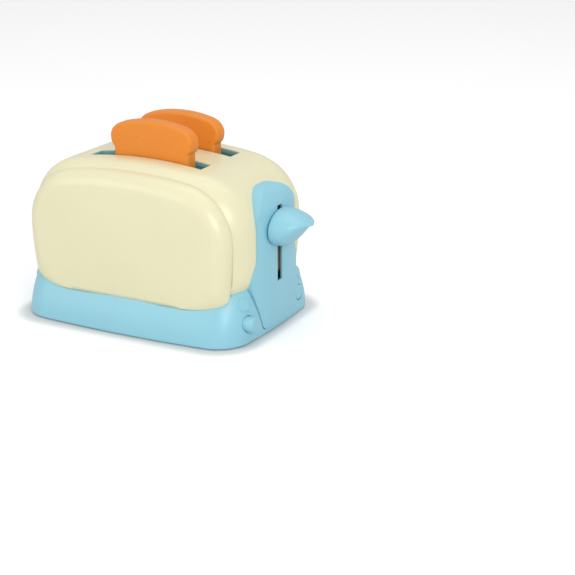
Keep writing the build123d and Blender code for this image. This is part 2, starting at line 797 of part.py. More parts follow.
# ================================================================ rods, springs, buttons, latch
for name, x in (("front", rod_spacing / 2), ("rear", -rod_spacing / 2)):
    with BuildPart() as guide_rod:
        rod_z(x, 0, (rod_foot_z, rod_top_z), rod_radius)
    save(guide_rod.part, f"guide_rod_{name}")
    with BuildPart() as return_spring:
        with Locations((x, 0, rod_socket_top)):
            add(coil(return_spring_radius, spring_turns, bush_low - rod_socket_top))
    save(return_spring.part, f"return_spring_{name}")

for name, y in button_places.items():
    with BuildPart() as button:
        rod_x((button_flange_x - button_flange_thickness, button_faces[name]), y, button_z,
              button_radius)
        fillet(button.edges().sort_by(Axis.X)[-1], button_rim_fillet)
        rod_x((button_flange_x - button_flange_thickness, button_flange_x), y, button_z,
              button_flange_radius)
    save(button.part, name)

with BuildPart() as latch_slide:
    block(
        (latch_back, button_flange_x - button_flange_thickness),
        (-release_button_y - latch_half_width, -release_button_y + latch_half_width),
        (latch_low, latch_head_z),
    )
    block((latch_back, latch_bar_front), (-release_button_y, latch_bar_end), (latch_low, latch_high))
    block(
        (latch_post_back, latch_post_front),
        (-latch_half_width, latch_half_width),
        (latch_high - 1, latch_lip_high),
    )
    block(
        (latch_post_back, latch_lip_front),
        (-latch_half_width, latch_half_width),
        (latch_lip_low, latch_lip_high),
    )
save(latch_slide.part, "latch_slide")

for name, x, y in (
    ("latch_spring", spring_back_x, -release_button_y),
    ("pretend_button_spring", pretend_back_x, pretend_button_y),
):
    with BuildPart() as small_spring:
        with Locations(Plane(origin=(x, y, button_z), z_dir=(1, 0, 0))):
            add(coil(small_spring_radius, spring_turns * 5 / 8, small_spring_length))
    save(small_spring.part, name)

# ================================================================ toast
for hand, side in sides.items():
    with BuildPart() as toast:
        with BuildSketch(Plane.XZ.offset(-side * slot_middle - toast_thickness / 2)) as slice_outline:
            with BuildLine():
                brow = (toast_half_width - 4.9, toast_height - 5)
                neck = (toast_neck_half_width, toast_neck_z)
                Line((0, 0), (toast_foot_half_width, 0))
                Line((toast_foot_half_width, 0), neck)
                ThreePointArc(neck, (toast_half_width, toast_cheek_z), brow)
                Spline(brow, (0, toast_height), tangents=((-0.8, 0.6), (-1, 0)))
                mirror(about=Plane.YZ)
            make_face()
            fillet(slice_outline.vertices().group_by(Axis.Y)[0], 6)
        extrude(to_extrude=slice_outline.sketch, amount=toast_thickness)
        fillet(toast.faces().filter_by(Axis.Y).edges(), toast_edge_radius)
    placed = Pos(toast_shift[hand], 0, rest_top) * toast.part
    save(placed, f"toast_{hand}")

# ================================================================ screws
with BuildPart() as bottom_plate_screws:
    for end, side in screw_corners:
        screw((end * plate_screw_x, side * plate_screw_y, plate_low), (0, 0, 1), 14)
    for side in sides.values():
        screw((0, side * plate_side_screw_y, plate_low), (0, 0, 1), 14)
save(bottom_plate_screws.part, "bottom_plate_screws")

with BuildPart() as body_screws:
    for end, side in screw_corners:
        screw((end * body_screw_x, side * body_screw_y, shelf_low), (0, 0, 1), 12)
save(body_screws.part, "body_screws")

for hand, side in sides.items():
    with BuildPart() as side_screws:
        for end in (-1, 1):
            for z in (side_screw_low, side_screw_high):
                seat = (end * side_screw_x, side * (body_half_width - body_wall), z)
                screw(seat, (0, side, 0), 11)
    save(side_screws.part, f"side_panel_screws_{hand}")

for name, end in (("front", 1), ("rear", -1)):
    with BuildPart() as panel_screws:
        for side in sides.values():
            for z in (panel_screw_low, panel_screw_high):
                seat_x = body_half_length - body_wall - seat_clearance
                screw((end * seat_x, side * panel_screw_y, z), (end, 0, 0), body_wall + 1.6)
    save(panel_screws.part, f"{name}_panel_screws")

with BuildPart() as well_screws:
    for end, side in screw_corners:
        screw((end * (slot_half_length + well_ear_reach - 2.8), side * slot_middle, well_ear_z),
              (0, 0, 1), 11)
save(well_screws.part, "well_screws")
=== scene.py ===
"""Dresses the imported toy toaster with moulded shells, finishes and a small studio.

Shapes are worked out in millimetres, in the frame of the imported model, and turned into metres
where a mesh is made. +X is the lever end, the right-hand side is -Y, and Z is up.
"""

import json
import logging
import math
from dataclasses import dataclass
from enum import Enum
from typing import Callable, Iterable, Optional, Sequence

import bmesh
import bpy
import numpy as np
from mathutils import Matrix, Vector


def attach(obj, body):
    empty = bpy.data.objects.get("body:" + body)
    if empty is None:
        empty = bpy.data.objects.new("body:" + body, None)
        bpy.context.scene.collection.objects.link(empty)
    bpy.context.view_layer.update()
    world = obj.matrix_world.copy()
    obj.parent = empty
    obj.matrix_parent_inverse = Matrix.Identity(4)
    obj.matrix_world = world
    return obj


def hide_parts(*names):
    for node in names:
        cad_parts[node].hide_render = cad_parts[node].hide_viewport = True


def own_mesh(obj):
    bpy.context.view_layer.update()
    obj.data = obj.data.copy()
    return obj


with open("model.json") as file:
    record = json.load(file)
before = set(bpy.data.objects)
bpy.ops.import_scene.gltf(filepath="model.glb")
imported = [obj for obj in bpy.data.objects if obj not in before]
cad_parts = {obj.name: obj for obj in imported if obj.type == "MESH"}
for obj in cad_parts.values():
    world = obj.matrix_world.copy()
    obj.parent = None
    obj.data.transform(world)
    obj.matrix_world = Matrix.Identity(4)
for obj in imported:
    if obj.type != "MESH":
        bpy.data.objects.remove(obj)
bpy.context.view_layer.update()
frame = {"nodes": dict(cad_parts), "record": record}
MM = 0.001
LOG = logging.getLogger("toaster")

Array = np.ndarray
Colour = tuple[float, float, float]


class Side(Enum):
    """The toaster's two long sides, as the sign of Y."""

    RIGHT = -1
    LEFT = 1


class End(Enum):
    """The toaster's two ends, as the sign of X."""

    FRONT = 1
    REAR = -1


# ------------------------------------------------------------------------------ mesh helpers
def bend(distance: Array | float, start: float, radius: float) -> Array | float:
    """How far a surface has dropped where it bends away on an arc.

    Args:
        distance: how far along the surface's line, from the middle.
        start: where the arc begins.
        radius: the arc's radius.

    Returns:
        The drop, nothing before the arc begins.
    """
    run = np.clip(np.asarray(distance, float) - start, 0.0, radius)
    return radius - np.sqrt(radius**2 - run**2)


def grid_faces(rows: int, columns: int, closed: bool = False,
               skip: Optional[Callable[[int, int], bool]] = None) -> list[tuple[int, ...]]:
    """Quads over a grid of points.

    Args:
        rows: number of rows of points.
        columns: number of points in a row.
        closed: whether each row closes on itself.
        skip: says which cells, by row and column, stay open.

    Returns:
        The quads as point numbers.
    """
    last = columns if closed else columns - 1
    faces = []
    for row in range(rows - 1):
        for column in range(last):
            if skip is None or not skip(row, column):
                right = (column + 1) % columns
                faces.append((row * columns + column, row * columns + right,
                              (row + 1) * columns + right, (row + 1) * columns + column))
    return faces


def capped_faces(rings: int, count: int) -> list[tuple[int, ...]]:
    """Faces over a stack of closed rings of so many points, with one face over each end."""
    total = rings * count
    ends = [tuple(range(count))[::-1], tuple(range(total - count, total))]
    return grid_faces(rings, count, closed=True) + ends


def looped_faces(rings: int, count: int) -> list[tuple[int, ...]]:
    """Faces over a stack of closed rings of so many points, whose last ring joins the first."""
    last = (rings - 1) * count
    join = [(last + k, last + (k + 1) % count, (k + 1) % count, k) for k in range(count)]
    return grid_faces(rings, count, closed=True) + join


def make_piece(name: str, points: Array, faces: Iterable[Sequence[int]]) -> bpy.types.Object:
    """A smooth-shaded mesh object from points in millimetres.

    Args:
        name: the piece's name.
        points: an array of points, three numbers each.
        faces: point numbers of each face.

    Returns:
        The new object, linked into the scene.
    """
    mesh = bpy.data.meshes.new(name)
    mesh.from_pydata([tuple(p) for p in np.asarray(points, float).reshape(-1, 3) * MM], [],
                     [tuple(f) for f in faces])
    mesh.validate()
    mesh.shade_smooth()
    piece = bpy.data.objects.new(name, mesh)
    bpy.context.scene.collection.objects.link(piece)
    return piece


def recalculate(piece: bpy.types.Object) -> None:
    """Turns every face of a piece outward and merges points that coincide."""
    work = bmesh.new()
    work.from_mesh(piece.data)
    bmesh.ops.remove_doubles(work, verts=work.verts, dist=0.00001)
    bmesh.ops.recalc_face_normals(work, faces=work.faces)
    work.to_mesh(piece.data)
    work.free()
    piece.data.shade_smooth()


def thicken(piece: bpy.types.Object, wall: float) -> None:
    """Gives an open skin a wall inward, in millimetres."""
    solid = piece.modifiers.new("wall", "SOLIDIFY")
    solid.thickness = wall * MM
    solid.offset = -1.0
    solid.use_even_offset = True
    solid.use_quality_normals = True


def soften(piece: bpy.types.Object, width: float, angle: float = 35.0, steps: int = 3) -> None:
    """Rounds a piece's sharp edges, with shading that keeps its broad faces clean.

    Args:
        piece: the object.
        width: the rounding's width in millimetres.
        angle: edges sharper than this many degrees are rounded.
        steps: segments across the rounding.
    """
    edge = piece.modifiers.new("edge", "BEVEL")
    edge.width = width * MM
    edge.segments = steps
    edge.limit_method = "ANGLE"
    edge.angle_limit = math.radians(angle)
    edge.harden_normals = True
    edge.use_clamp_overlap = True


def settle(piece: bpy.types.Object) -> None:
    """Makes a piece's modifiers part of its mesh."""
    depsgraph = bpy.context.evaluated_depsgraph_get()
    done = bpy.data.meshes.new_from_object(piece.evaluated_get(depsgraph), depsgraph=depsgraph)
    piece.modifiers.clear()
    piece.data = done


def cut(piece: bpy.types.Object, tools: Sequence[bpy.types.Object]) -> None:
    """Cuts the shapes of some tools out of a piece, and removes the tools."""
    for tool in tools:
        taken = piece.modifiers.new("cut", "BOOLEAN")
        taken.operation = "DIFFERENCE"
        taken.solver = "EXACT"
        taken.object = tool
    settle(piece)
    for tool in tools:
        bpy.data.objects.remove(tool)


def lathe_x(name: str, profile: Sequence[tuple[float, float]], y: float, z: float,
            steps: int = 64) -> bpy.types.Object:
    """A turned piece about a line along X.

    Args:
        name: the piece's name.
        profile: (x, radius) points from one end to the other.
        y: the line's y.
        z: the line's z.
        steps: divisions round the line.

    Returns:
        The closed piece.
    """
    turn = np.linspace(0, 2 * math.pi, steps, endpoint=False)
    rings = [np.stack([np.full(steps, x), y + r * np.cos(turn), z + r * np.sin(turn)], 1)
             for x, r in profile]
    piece = make_piece(name, np.concatenate(rings), capped_faces(len(rings), steps))
    recalculate(piece)
    return piece


# ------------------------------------------------------------------------------ master shapes
@dataclass(frozen=True)
class HoodForm:
    """The hood's loaf shape and the cushion shape of the side panels."""

    half_length: float = 92.5
    half_width: float = 48.5
    height: float = 124.3
    arch_radius: float = 335.0
    shoulder_radius: float = 42.0
    end_bend_start: float = 25.9
    end_bend_radius: float = 40.0
    top_bend_start: float = 35.0
    top_bend_radius: float = 20.0
    foot_bend_z: float = 50.0
    foot_bend_radius: float = 20.0
    foot_bend_drop: float = 14.0
    shelf_z: float = 26.0
    low: float = 26.2
    panel_depth: float = 13.5
    panel_roll: float = 12.5
    panel_foot_inset: float = 11.0
    panel_crease_inset: float = 3.8
    panel_corner: float = 22.0
    crease_corner: float = 9.0
    groove: float = 1.0
    groove_width: float = 7.0

    def groove_at(self, y: float) -> float:
        """How deep the soft valley beside the side panel is at a distance from the middle."""
        near = max(1.0 - abs(abs(y) - self.half_width) / self.groove_width, 0.0)
        return self.groove * near**2

    def foot_inset(self, roll: float) -> float:
        """How much narrower the side panel is at its foot, some way round its border."""
        spread = self.panel_foot_inset - self.panel_crease_inset
        return self.panel_crease_inset + spread * roll / self.panel_roll

    def end_x(self, y: float) -> float:
        """How far the hood's end stands out at a distance from its middle."""
        bent = float(bend(abs(y), self.end_bend_start, self.end_bend_radius))
        return self.half_length - bent - self.groove_at(y)

    def top_z(self, y: float) -> float:
        """The deck's height at a distance from its middle."""
        bent = float(bend(abs(y), self.top_bend_start, self.top_bend_radius))
        return self.height - bent - self.groove_at(y) / 3

    def arch(self, half: float, height: float, radius: float) -> tuple[float, float, float, float]:
        """The deck's arch and its shoulder for one section.

        Args:
            half: the section's half length.
            height: the section's height.
            radius: the shoulder's radius.

        Returns:
            The arch's centre height, the shoulder's centre x and z, and the angle where they meet.
        """
        centre = height - self.arch_radius
        shoulder_x = half - radius
        rise = math.sqrt((self.arch_radius - radius) ** 2 - shoulder_x**2)
        return centre, shoulder_x, centre + rise, math.atan2(rise, shoulder_x)

    def surface_x(self, y: Array, z: Array) -> Array:
        """How far out the hood's end is at points seen along X.

        Args:
            y: the points' y, in millimetres.
            z: the points' z.

        Returns:
            The x of the end's surface.
        """
        out = []
        for one_y, one_z in zip(np.ravel(y), np.ravel(z)):
            half, height = self.end_x(one_y), self.top_z(one_y)
            centre, shoulder_x, shoulder_z, tilt = self.arch(half, height, self.shoulder_radius)
            meet_z = centre + self.arch_radius * math.sin(tilt)
            if one_z <= shoulder_z:
                drop = min(max(self.foot_bend_z - one_z, 0), self.foot_bend_drop)
                out.append(half - float(bend(drop, 0, self.foot_bend_radius)))
            elif one_z <= meet_z:
                out.append(shoulder_x + math.sqrt(self.shoulder_radius**2 - (one_z - shoulder_z) ** 2))
            else:
                out.append(math.sqrt(max(self.arch_radius**2 - (one_z - centre) ** 2, 0)))
        return np.array(out).reshape(np.shape(y))

    def border(self, turn: float) -> tuple[float, float, float, float]:
        """The side panel's size some way round its rolled border.

        Args:
            turn: how far round, in radians, from the crease to the face.

        Returns:
            How far the border has drawn in, the panel's half length and height, and the
            border's distance from the toaster's middle.
        """
        roll = self.panel_roll * (1 - math.cos(turn))
        place = self.half_width + self.panel_depth * math.sin(turn)
        lost = self.groove - self.groove_at(place)
        return (roll, self.end_x(self.half_width) - roll + lost,
                self.top_z(self.half_width) - roll + lost / 3, place)

    def narrowing(self, z: float, shoulder_z: float, roll: float) -> float:
        """How much narrower the side panel is at a height than at its shoulder.

        Args:
            z: the height.
            shoulder_z: the height of the shoulder's centre.
            roll: how far the border has drawn in.

        Returns:
            The narrowing, with the rounded corner at the foot.
        """
        share = min(max((shoulder_z - z) / (shoulder_z - self.shelf_z), 0.0), 1.0)
        corner = self.crease_corner + (self.panel_corner - self.crease_corner) * roll / self.panel_roll
        below = min(max(self.shelf_z + corner - z, 0.0), corner)
        rounded = corner - math.sqrt(max(corner**2 - below**2, 0.0))
        return self.foot_inset(roll) * share**2 + rounded

    def panel_side_x(self, z: float, turn: float) -> float:
        """Half the side panel's length at a height, some way round its border."""
        roll, half, height, _ = self.border(turn)
        shoulder_z = self.arch(half, height, self.shoulder_radius - roll)[2]
        return half - self.narrowing(z, shoulder_z, roll)


@dataclass(frozen=True)
class BellForm:
    """The plinth's bell-shaped skirt."""

    half_length: float = 95.0
    half_width: float = 69.3
    end_bow: float = 3.9
    side_bow: float = 4.6
    corner_radius: float = 26.0
    corner_draw: float = 4.0
    end_draw: float = 4.6
    side_draw: float = 16.0
    reference: float = 40.0
    end_steps: int = 26
    corner_steps: int = 26
    side_steps: int = 40

    def outline(self, z: float, inset: float = 0.0) -> Array:
        """The outline at a height.

        Args:
            z: the height in millimetres.
            inset: how far inside the outer surface.

        Returns:
            Points round the whole outline, starting in the middle of the lever end.
        """
        draw = (z / self.reference) ** 2
        length = self.half_length - self.end_draw * draw - inset
        width = self.half_width - self.side_draw * draw - inset
        radius = self.corner_radius - self.corner_draw * draw - inset
        corner = np.array([length - self.end_bow, width - self.side_bow])
        end_r = (corner[1] ** 2 + self.end_bow**2) / (2 * self.end_bow)
        side_r = (corner[0] ** 2 + self.side_bow**2) / (2 * self.side_bow)
        end_c = np.array([length - end_r, 0.0])
        side_c = np.array([0.0, width - side_r])
        reach_end, reach_side = end_r - radius, side_r - radius
        gap = side_c - end_c
        span = float(np.linalg.norm(gap))
        along = (reach_end**2 - reach_side**2 + span**2) / (2 * span)
        off = math.sqrt(max(reach_end**2 - along**2, 0.0))
        unit = gap / span
        middle = end_c + unit * along
        options = [middle + off * np.array([-unit[1], unit[0]]) * s for s in (1, -1)]
        centre = max(options, key=lambda p: p[0] + p[1])
        turn_end = math.atan2(*(centre - end_c)[::-1])
        turn_side = math.atan2(*(centre - side_c)[::-1])
        first = np.linspace(0, turn_end, self.end_steps, endpoint=False)
        second = np.linspace(turn_end, turn_side, self.corner_steps, endpoint=False)
        third = np.linspace(turn_side, math.pi / 2, self.side_steps + 1)
        quarter = np.concatenate([
            end_c + end_r * np.stack([np.cos(first), np.sin(first)], 1),
            centre + radius * np.stack([np.cos(second), np.sin(second)], 1),
            side_c + side_r * np.stack([np.cos(third), np.sin(third)], 1),
        ])
        left = quarter[:-1]
        back = quarter[::-1] * [-1, 1]
        half = np.concatenate([left, back[:-1]])
        return np.concatenate([half, -half])


HOOD = HoodForm()
BELL = BellForm()


# ------------------------------------------------------------------------------ finishes
def new_group(name: str, inputs: Sequence[tuple[str, str, object]],
              outputs: Sequence[tuple[str, str]]) -> bpy.types.NodeTree:
    """An empty shader node group with its sockets.

    Args:
        name: the group's name.
        inputs: each socket's name, type and default value.
        outputs: each socket's name and type.

    Returns:
        The group, with its input and output nodes placed.
    """
    group = bpy.data.node_groups.new(name, "ShaderNodeTree")
    for label, kind, value in inputs:
        socket = group.interface.new_socket(name=label, in_out="INPUT", socket_type=kind)
        socket.default_value = value
    for label, kind in outputs:
        group.interface.new_socket(name=label, in_out="OUTPUT", socket_type=kind)
    group.nodes.new("NodeGroupInput").name = "in"
    group.nodes.new("NodeGroupOutput").name = "out"
    return group


def node(tree: bpy.types.NodeTree, kind: str, **values: object) -> bpy.types.Node:
    """Adds a shader node and sets its properties and unlinked sockets.

    Args:
        tree: the node tree.
        kind: the node's type name.
        values: properties by name, or sockets by name with spaces as underscores.

    Returns:
        The node.
    """
    made = tree.nodes.new(kind)
    for key, value in values.items():
        if hasattr(made, key):
            setattr(made, key, value)
        else:
            made.inputs[key.replace("_", " ")].default_value = value
    return made


def build_moulded_grain() -> bpy.types.NodeTree:
    """The faint orange-peel and tone drift of injection-moulded plastic.

    Returns:
        A group that takes a colour and gives the toned colour, a roughness and a height.
    """
    group = new_group(
        "moulded_grain",
        [("Colour", "NodeSocketColor", (0.8, 0.8, 0.8, 1)), ("Drift", "NodeSocketFloat", 0.04),
         ("Roughness", "NodeSocketFloat", 0.35), ("Spread", "NodeSocketFloat", 0.06)],
        [("Colour", "NodeSocketColor"), ("Roughness", "NodeSocketFloat"), ("Height", "NodeSocketFloat")],
    )
    link = group.links.new
    came, out = group.nodes["in"], group.nodes["out"]
    place = node(group, "ShaderNodeTexCoord")
    broad = node(group, "ShaderNodeTexNoise", Scale=22.0, Detail=2.0, Roughness=0.5)
    peel = node(group, "ShaderNodeTexNoise", Scale=900.0, Detail=3.0, Roughness=0.6)
    link(place.outputs["Object"], broad.inputs["Vector"])
    link(place.outputs["Object"], peel.inputs["Vector"])
    centred = node(group, "ShaderNodeMath", operation="SUBTRACT")
    centred.inputs[1].default_value = 0.5
    link(broad.outputs["Fac"], centred.inputs[0])
    drift = node(group, "ShaderNodeMath", operation="MULTIPLY_ADD")
    drift.inputs[2].default_value = 1.0
    link(centred.outputs[0], drift.inputs[0])
    link(came.outputs["Drift"], drift.inputs[1])
    tone = node(group, "ShaderNodeVectorMath", operation="SCALE")
    link(came.outputs["Colour"], tone.inputs[0])
    link(drift.outputs[0], tone.inputs["Scale"])
    link(tone.outputs[0], out.inputs["Colour"])
    rough = node(group, "ShaderNodeMath", operation="MULTIPLY_ADD")
    link(centred.outputs[0], rough.inputs[0])
    link(came.outputs["Spread"], rough.inputs[1])
    link(came.outputs["Roughness"], rough.inputs[2])
    link(rough.outputs[0], out.inputs["Roughness"])
    link(peel.outputs["Fac"], out.inputs["Height"])
    return group


def build_speckle() -> bpy.types.NodeTree:
    """Small dark specks scattered in a surface.

    Returns:
        A group that takes a size and a share and gives a mask, 1 on a speck.
    """
    group = new_group(
        "speckle",
        [("Scale", "NodeSocketFloat", 300.0), ("Share", "NodeSocketFloat", 0.12)],
        [("Mask", "NodeSocketFloat")],
    )
    link = group.links.new
    came, out = group.nodes["in"], group.nodes["out"]
    place = node(group, "ShaderNodeTexCoord")
    cells = node(group, "ShaderNodeTexVoronoi", feature="F1")
    link(place.outputs["Object"], cells.inputs["Vector"])
    link(came.outputs["Scale"], cells.inputs["Scale"])
    pick = node(group, "ShaderNodeSeparateColor")
    link(cells.outputs["Color"], pick.inputs[0])
    chosen = node(group, "ShaderNodeMath", operation="LESS_THAN")
    link(pick.outputs[0], chosen.inputs[0])
    link(came.outputs["Share"], chosen.inputs[1])
    near = node(group, "ShaderNodeMapRange", interpolation_type="SMOOTHSTEP")
    near.inputs["From Min"].default_value = 0.18
    near.inputs["From Max"].default_value = 0.42
    near.inputs["To Min"].default_value = 1.0
    near.inputs["To Max"].default_value = 0.0
    link(cells.outputs["Distance"], near.inputs["Value"])
    mask = node(group, "ShaderNodeMath", operation="MULTIPLY")
    link(chosen.outputs[0], mask.inputs[0])
    link(near.outputs[0], mask.inputs[1])
    link(mask.outputs[0], out.inputs["Mask"])
    return group


@dataclass(frozen=True)
class MouldedPlastic:
    """An injection-moulded plastic, from soft matte to satin."""

    name: str
    colour: Colour
    roughness: float = 0.36
    drift: float = 0.05
    spread: float = 0.10
    grain: float = 0.03
    grain_height: float = 0.0004
    ior: float = 1.49
    subsurface: float = 0.0
    scatter: Colour = (1.0, 0.8, 0.5)
    scatter_depth: float = 0.002
    specks: float = 0.0
    speck_scale: float = 420.0
    speck_colour: Colour = (0.3, 0.1, 0.02)

    def material(self) -> bpy.types.Material:
        """Builds the finish.

        Returns:
            The material.
        """
        made = bpy.data.materials.new(self.name)
        made.use_nodes = True
        tree = made.node_tree
        link = tree.links.new
        shader = tree.nodes["Principled BSDF"]
        grain = node(tree, "ShaderNodeGroup", node_tree=bpy.data.node_groups["moulded_grain"])
        grain.inputs["Colour"].default_value = (*self.colour, 1)
        grain.inputs["Drift"].default_value = self.drift
        grain.inputs["Roughness"].default_value = self.roughness
        grain.inputs["Spread"].default_value = self.spread
        colour = grain.outputs["Colour"]
        if self.specks:
            speckle = node(tree, "ShaderNodeGroup", node_tree=bpy.data.node_groups["speckle"])
            speckle.inputs["Scale"].default_value = self.speck_scale
            speckle.inputs["Share"].default_value = self.specks
            mixed = node(tree, "ShaderNodeMix", data_type="RGBA")
            mixed.inputs["B"].default_value = (*self.speck_colour, 1)
            link(speckle.outputs["Mask"], mixed.inputs["Factor"])
            link(colour, mixed.inputs["A"])
            colour = mixed.outputs["Result"]
        link(colour, shader.inputs["Base Color"])
        link(grain.outputs["Roughness"], shader.inputs["Roughness"])
        relief = node(tree, "ShaderNodeBump", Strength=self.grain, Distance=self.grain_height)
        link(grain.outputs["Height"], relief.inputs["Height"])
        link(relief.outputs["Normal"], shader.inputs["Normal"])
        shader.inputs["IOR"].default_value = self.ior
        shader.inputs["Subsurface Weight"].default_value = self.subsurface
        shader.inputs["Subsurface Radius"].default_value = self.scatter
        shader.inputs["Subsurface Scale"].default_value = self.scatter_depth
        return made


@dataclass(frozen=True)
class DrawnSteel:
    """Bright zinc-plated steel of rods, springs and screws."""

    name: str = "zinc_steel"
    colour: Colour = (0.55, 0.56, 0.58)
    roughness: float = 0.32

    def material(self) -> bpy.types.Material:
        """Builds the finish.

        Returns:
            The material.
        """
        made = bpy.data.materials.new(self.name)
        made.use_nodes = True
        tree = made.node_tree
        shader = tree.nodes["Principled BSDF"]
        grain = node(tree, "ShaderNodeGroup", node_tree=bpy.data.node_groups["moulded_grain"])
        grain.inputs["Colour"].default_value = (*self.colour, 1)
        grain.inputs["Drift"].default_value = 0.25
        grain.inputs["Roughness"].default_value = self.roughness
        grain.inputs["Spread"].default_value = 0.2
        tree.links.new(grain.outputs["Colour"], shader.inputs["Base Color"])
        tree.links.new(grain.outputs["Roughness"], shader.inputs["Roughness"])
        shader.inputs["Metallic"].default_value = 1.0
        return made


class Finish(Enum):
    """The finishes, each named as the record's material slot that it stands for."""

    CREAM = "cream_plastic"
    BLUE = "blue_plastic"
    WELL = "well_plastic"
    INNER = "inner_plastic"
    TOAST = "toast_plastic"
    STEEL = "steel"


FINISHES = {
    Finish.CREAM: MouldedPlastic("cream", (0.785, 0.750, 0.505), roughness=0.29, subsurface=0.08),
    Finish.BLUE: MouldedPlastic("blue", (0.278, 0.590, 0.705), roughness=0.35),
    Finish.WELL: MouldedPlastic("teal_well", (0.140, 0.375, 0.395), roughness=0.50),
    Finish.INNER: MouldedPlastic("dark_inner", (0.020, 0.030, 0.027), roughness=0.60),
    Finish.TOAST: MouldedPlastic("toast", (0.780, 0.245, 0.020), roughness=0.50, drift=0.12,
                                 grain=0.16, specks=0.05, speck_colour=(0.66, 0.18, 0.018)),
    Finish.STEEL: DrawnSteel(),
}


# ------------------------------------------------------------------------------ shells
@dataclass
class Hood:
    """The cream hood: a bent skin with two bread slots and the lever's slot."""

    wall: float = 3.0
    slot_half_length: float = 47.8
    slot_inner: float = 13.6
    slot_outer: float = 28.9
    lever_half: float = 9.5
    rim: float = 0.8

    def half_section(self, y: float) -> list[tuple[float, float]]:
        """Points from the middle of the deck down to the foot of the lever end.

        Args:
            y: the section's place across the hood.

        Returns:
            The (x, z) points.
        """
        half, height = HOOD.end_x(y), HOOD.top_z(y)
        centre, shoulder_x, shoulder_z, tilt = HOOD.arch(half, height, HOOD.shoulder_radius)
        meet_x = HOOD.arch_radius * math.cos(tilt)
        deck = [0, 8, 16, 24, 32, 40, 45.4, self.slot_half_length]
        deck += [self.slot_half_length + (meet_x - self.slot_half_length) * t for t in (0.33, 0.67)]
        points = [(x, centre + math.sqrt(HOOD.arch_radius**2 - x**2)) for x in deck]
        for share in (1, 0.92, 0.84, 0.76, 0.68, 0.6, 0.52, 0.44, 0.37, 0.3, 0.2, 0.1, 0):
            turn = tilt * share
            points.append((shoulder_x + HOOD.shoulder_radius * math.cos(turn),
                           shoulder_z + HOOD.shoulder_radius * math.sin(turn)))
        for share in (0.25, 0.5, 0.75, 1):
            points.append((half, shoulder_z + (HOOD.foot_bend_z - shoulder_z) * share))
        for step in range(1, 6):
            drop = HOOD.foot_bend_drop * step / 5
            points.append((half - float(bend(drop, 0, HOOD.foot_bend_radius)), HOOD.foot_bend_z - drop))
        points.append((points[-1][0], HOOD.low))
        return points

    def build(self, cream: bpy.types.Material) -> bpy.types.Object:
        """Makes the hood.

        Args:
            cream: the shells' finish.

        Returns:
            The piece.
        """
        half = [0, 4.6, self.lever_half, 12.2, self.slot_inner, 15.2, 18.5, 22, 25.9, 27.4,
                self.slot_outer, 30.4, 33, 35, 37.5, 40, 42.2, 44.2, 46, 47.4, HOOD.half_width]
        lines = [-y for y in reversed(half[1:])] + half
        rows = []
        for y in lines:
            front = self.half_section(y)
            section = [(-x, z) for x, z in reversed(front)] + front[1:]
            rows.append([(x, y, z) for x, z in section])
        columns = len(rows[0])
        middle = columns // 2
        slot_steps = 7
        lever_top, lever_foot = middle + 19, middle + 31

        def open_cell(row: int, column: int) -> bool:
            """Whether a cell of the skin lies in a slot."""
            low, high = lines[row], lines[row + 1]
            nearer, further = sorted((abs(low), abs(high)))
            if middle - slot_steps <= column < middle + slot_steps:
                return self.slot_inner <= nearer and further <= self.slot_outer
            return lever_top <= column < lever_foot and further <= self.lever_half

        points = np.array(rows).reshape(-1, 3)
        faces = grid_faces(len(lines), columns, skip=open_cell)
        last = (len(lines) - 1) * columns
        faces += [tuple(range(columns)), tuple(range(last, last + columns))[::-1]]
        piece = make_piece("hood_shell", points, faces)
        recalculate(piece)
        thicken(piece, self.wall)
        soften(piece, self.rim, angle=25)
        settle(piece)
        piece.data.materials.append(cream)
        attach(piece, "housing")
        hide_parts("body_hood")
        return piece


@dataclass
class SlotLip:
    """The teal lip of a bread well, standing in the hood's slot just under the deck."""

    side: Side
    half_length: float = 47.76
    inner: float = 13.64
    outer: float = 28.86
    corner: float = 0.7
    wall: float = 0.45
    sunk: float = 0.55
    depth: float = 3.4
    long_steps: int = 24

    def loop(self, inset: float, drop: float) -> Array:
        """A round-cornered loop inside the slot, some way under the deck.

        Args:
            inset: how far inside the slot's own wall.
            drop: how far under the deck.

        Returns:
            The loop's points.
        """
        half = self.half_length - inset
        low, high = self.inner + inset, self.outer - inset
        radius = self.corner
        points = []
        corners = [(half, high, 0.0), (-half, high, 90.0), (-half, low, 180.0), (half, low, 270.0)]
        for (x, y, start), following in zip(corners, corners[1:] + corners[:1]):
            centre = (x - math.copysign(radius, x), y - math.copysign(radius, y - (low + high) / 2))
            for turn in np.radians(np.linspace(start, start + 90, 6)):
                points.append((centre[0] + radius * math.cos(turn), centre[1] + radius * math.sin(turn)))
            if following[1] == y:
                last = points[-1]
                end = following[0] - math.copysign(radius, following[0])
                points += [(last[0] + (end - last[0]) * t, last[1])
                           for t in np.linspace(0, 1, self.long_steps)[1:-1]]
        centre_z = HOOD.height - HOOD.arch_radius
        return np.array([(x, self.side.value * y, centre_z + math.sqrt(HOOD.arch_radius**2 - x**2) - drop)
                         for x, y in points])

    def build(self, teal: bpy.types.Material) -> bpy.types.Object:
        """Makes the lip.

        Args:
            teal: the wells' finish.

        Returns:
            The piece.
        """
        loops = [self.loop(0, self.depth), self.loop(0, self.sunk + 0.1), self.loop(0.1, self.sunk),
                 self.loop(self.wall - 0.1, self.sunk), self.loop(self.wall, self.sunk + 0.1),
                 self.loop(self.wall, self.depth)]
        faces = looped_faces(len(loops), len(loops[0]))
        piece = make_piece(f"slot_lip_{self.side.name.lower()}", np.concatenate(loops), faces)
        recalculate(piece)
        piece.data.set_sharp_from_angle(angle=math.radians(50))
        piece.data.materials.append(teal)
        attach(piece, "housing")
        return piece


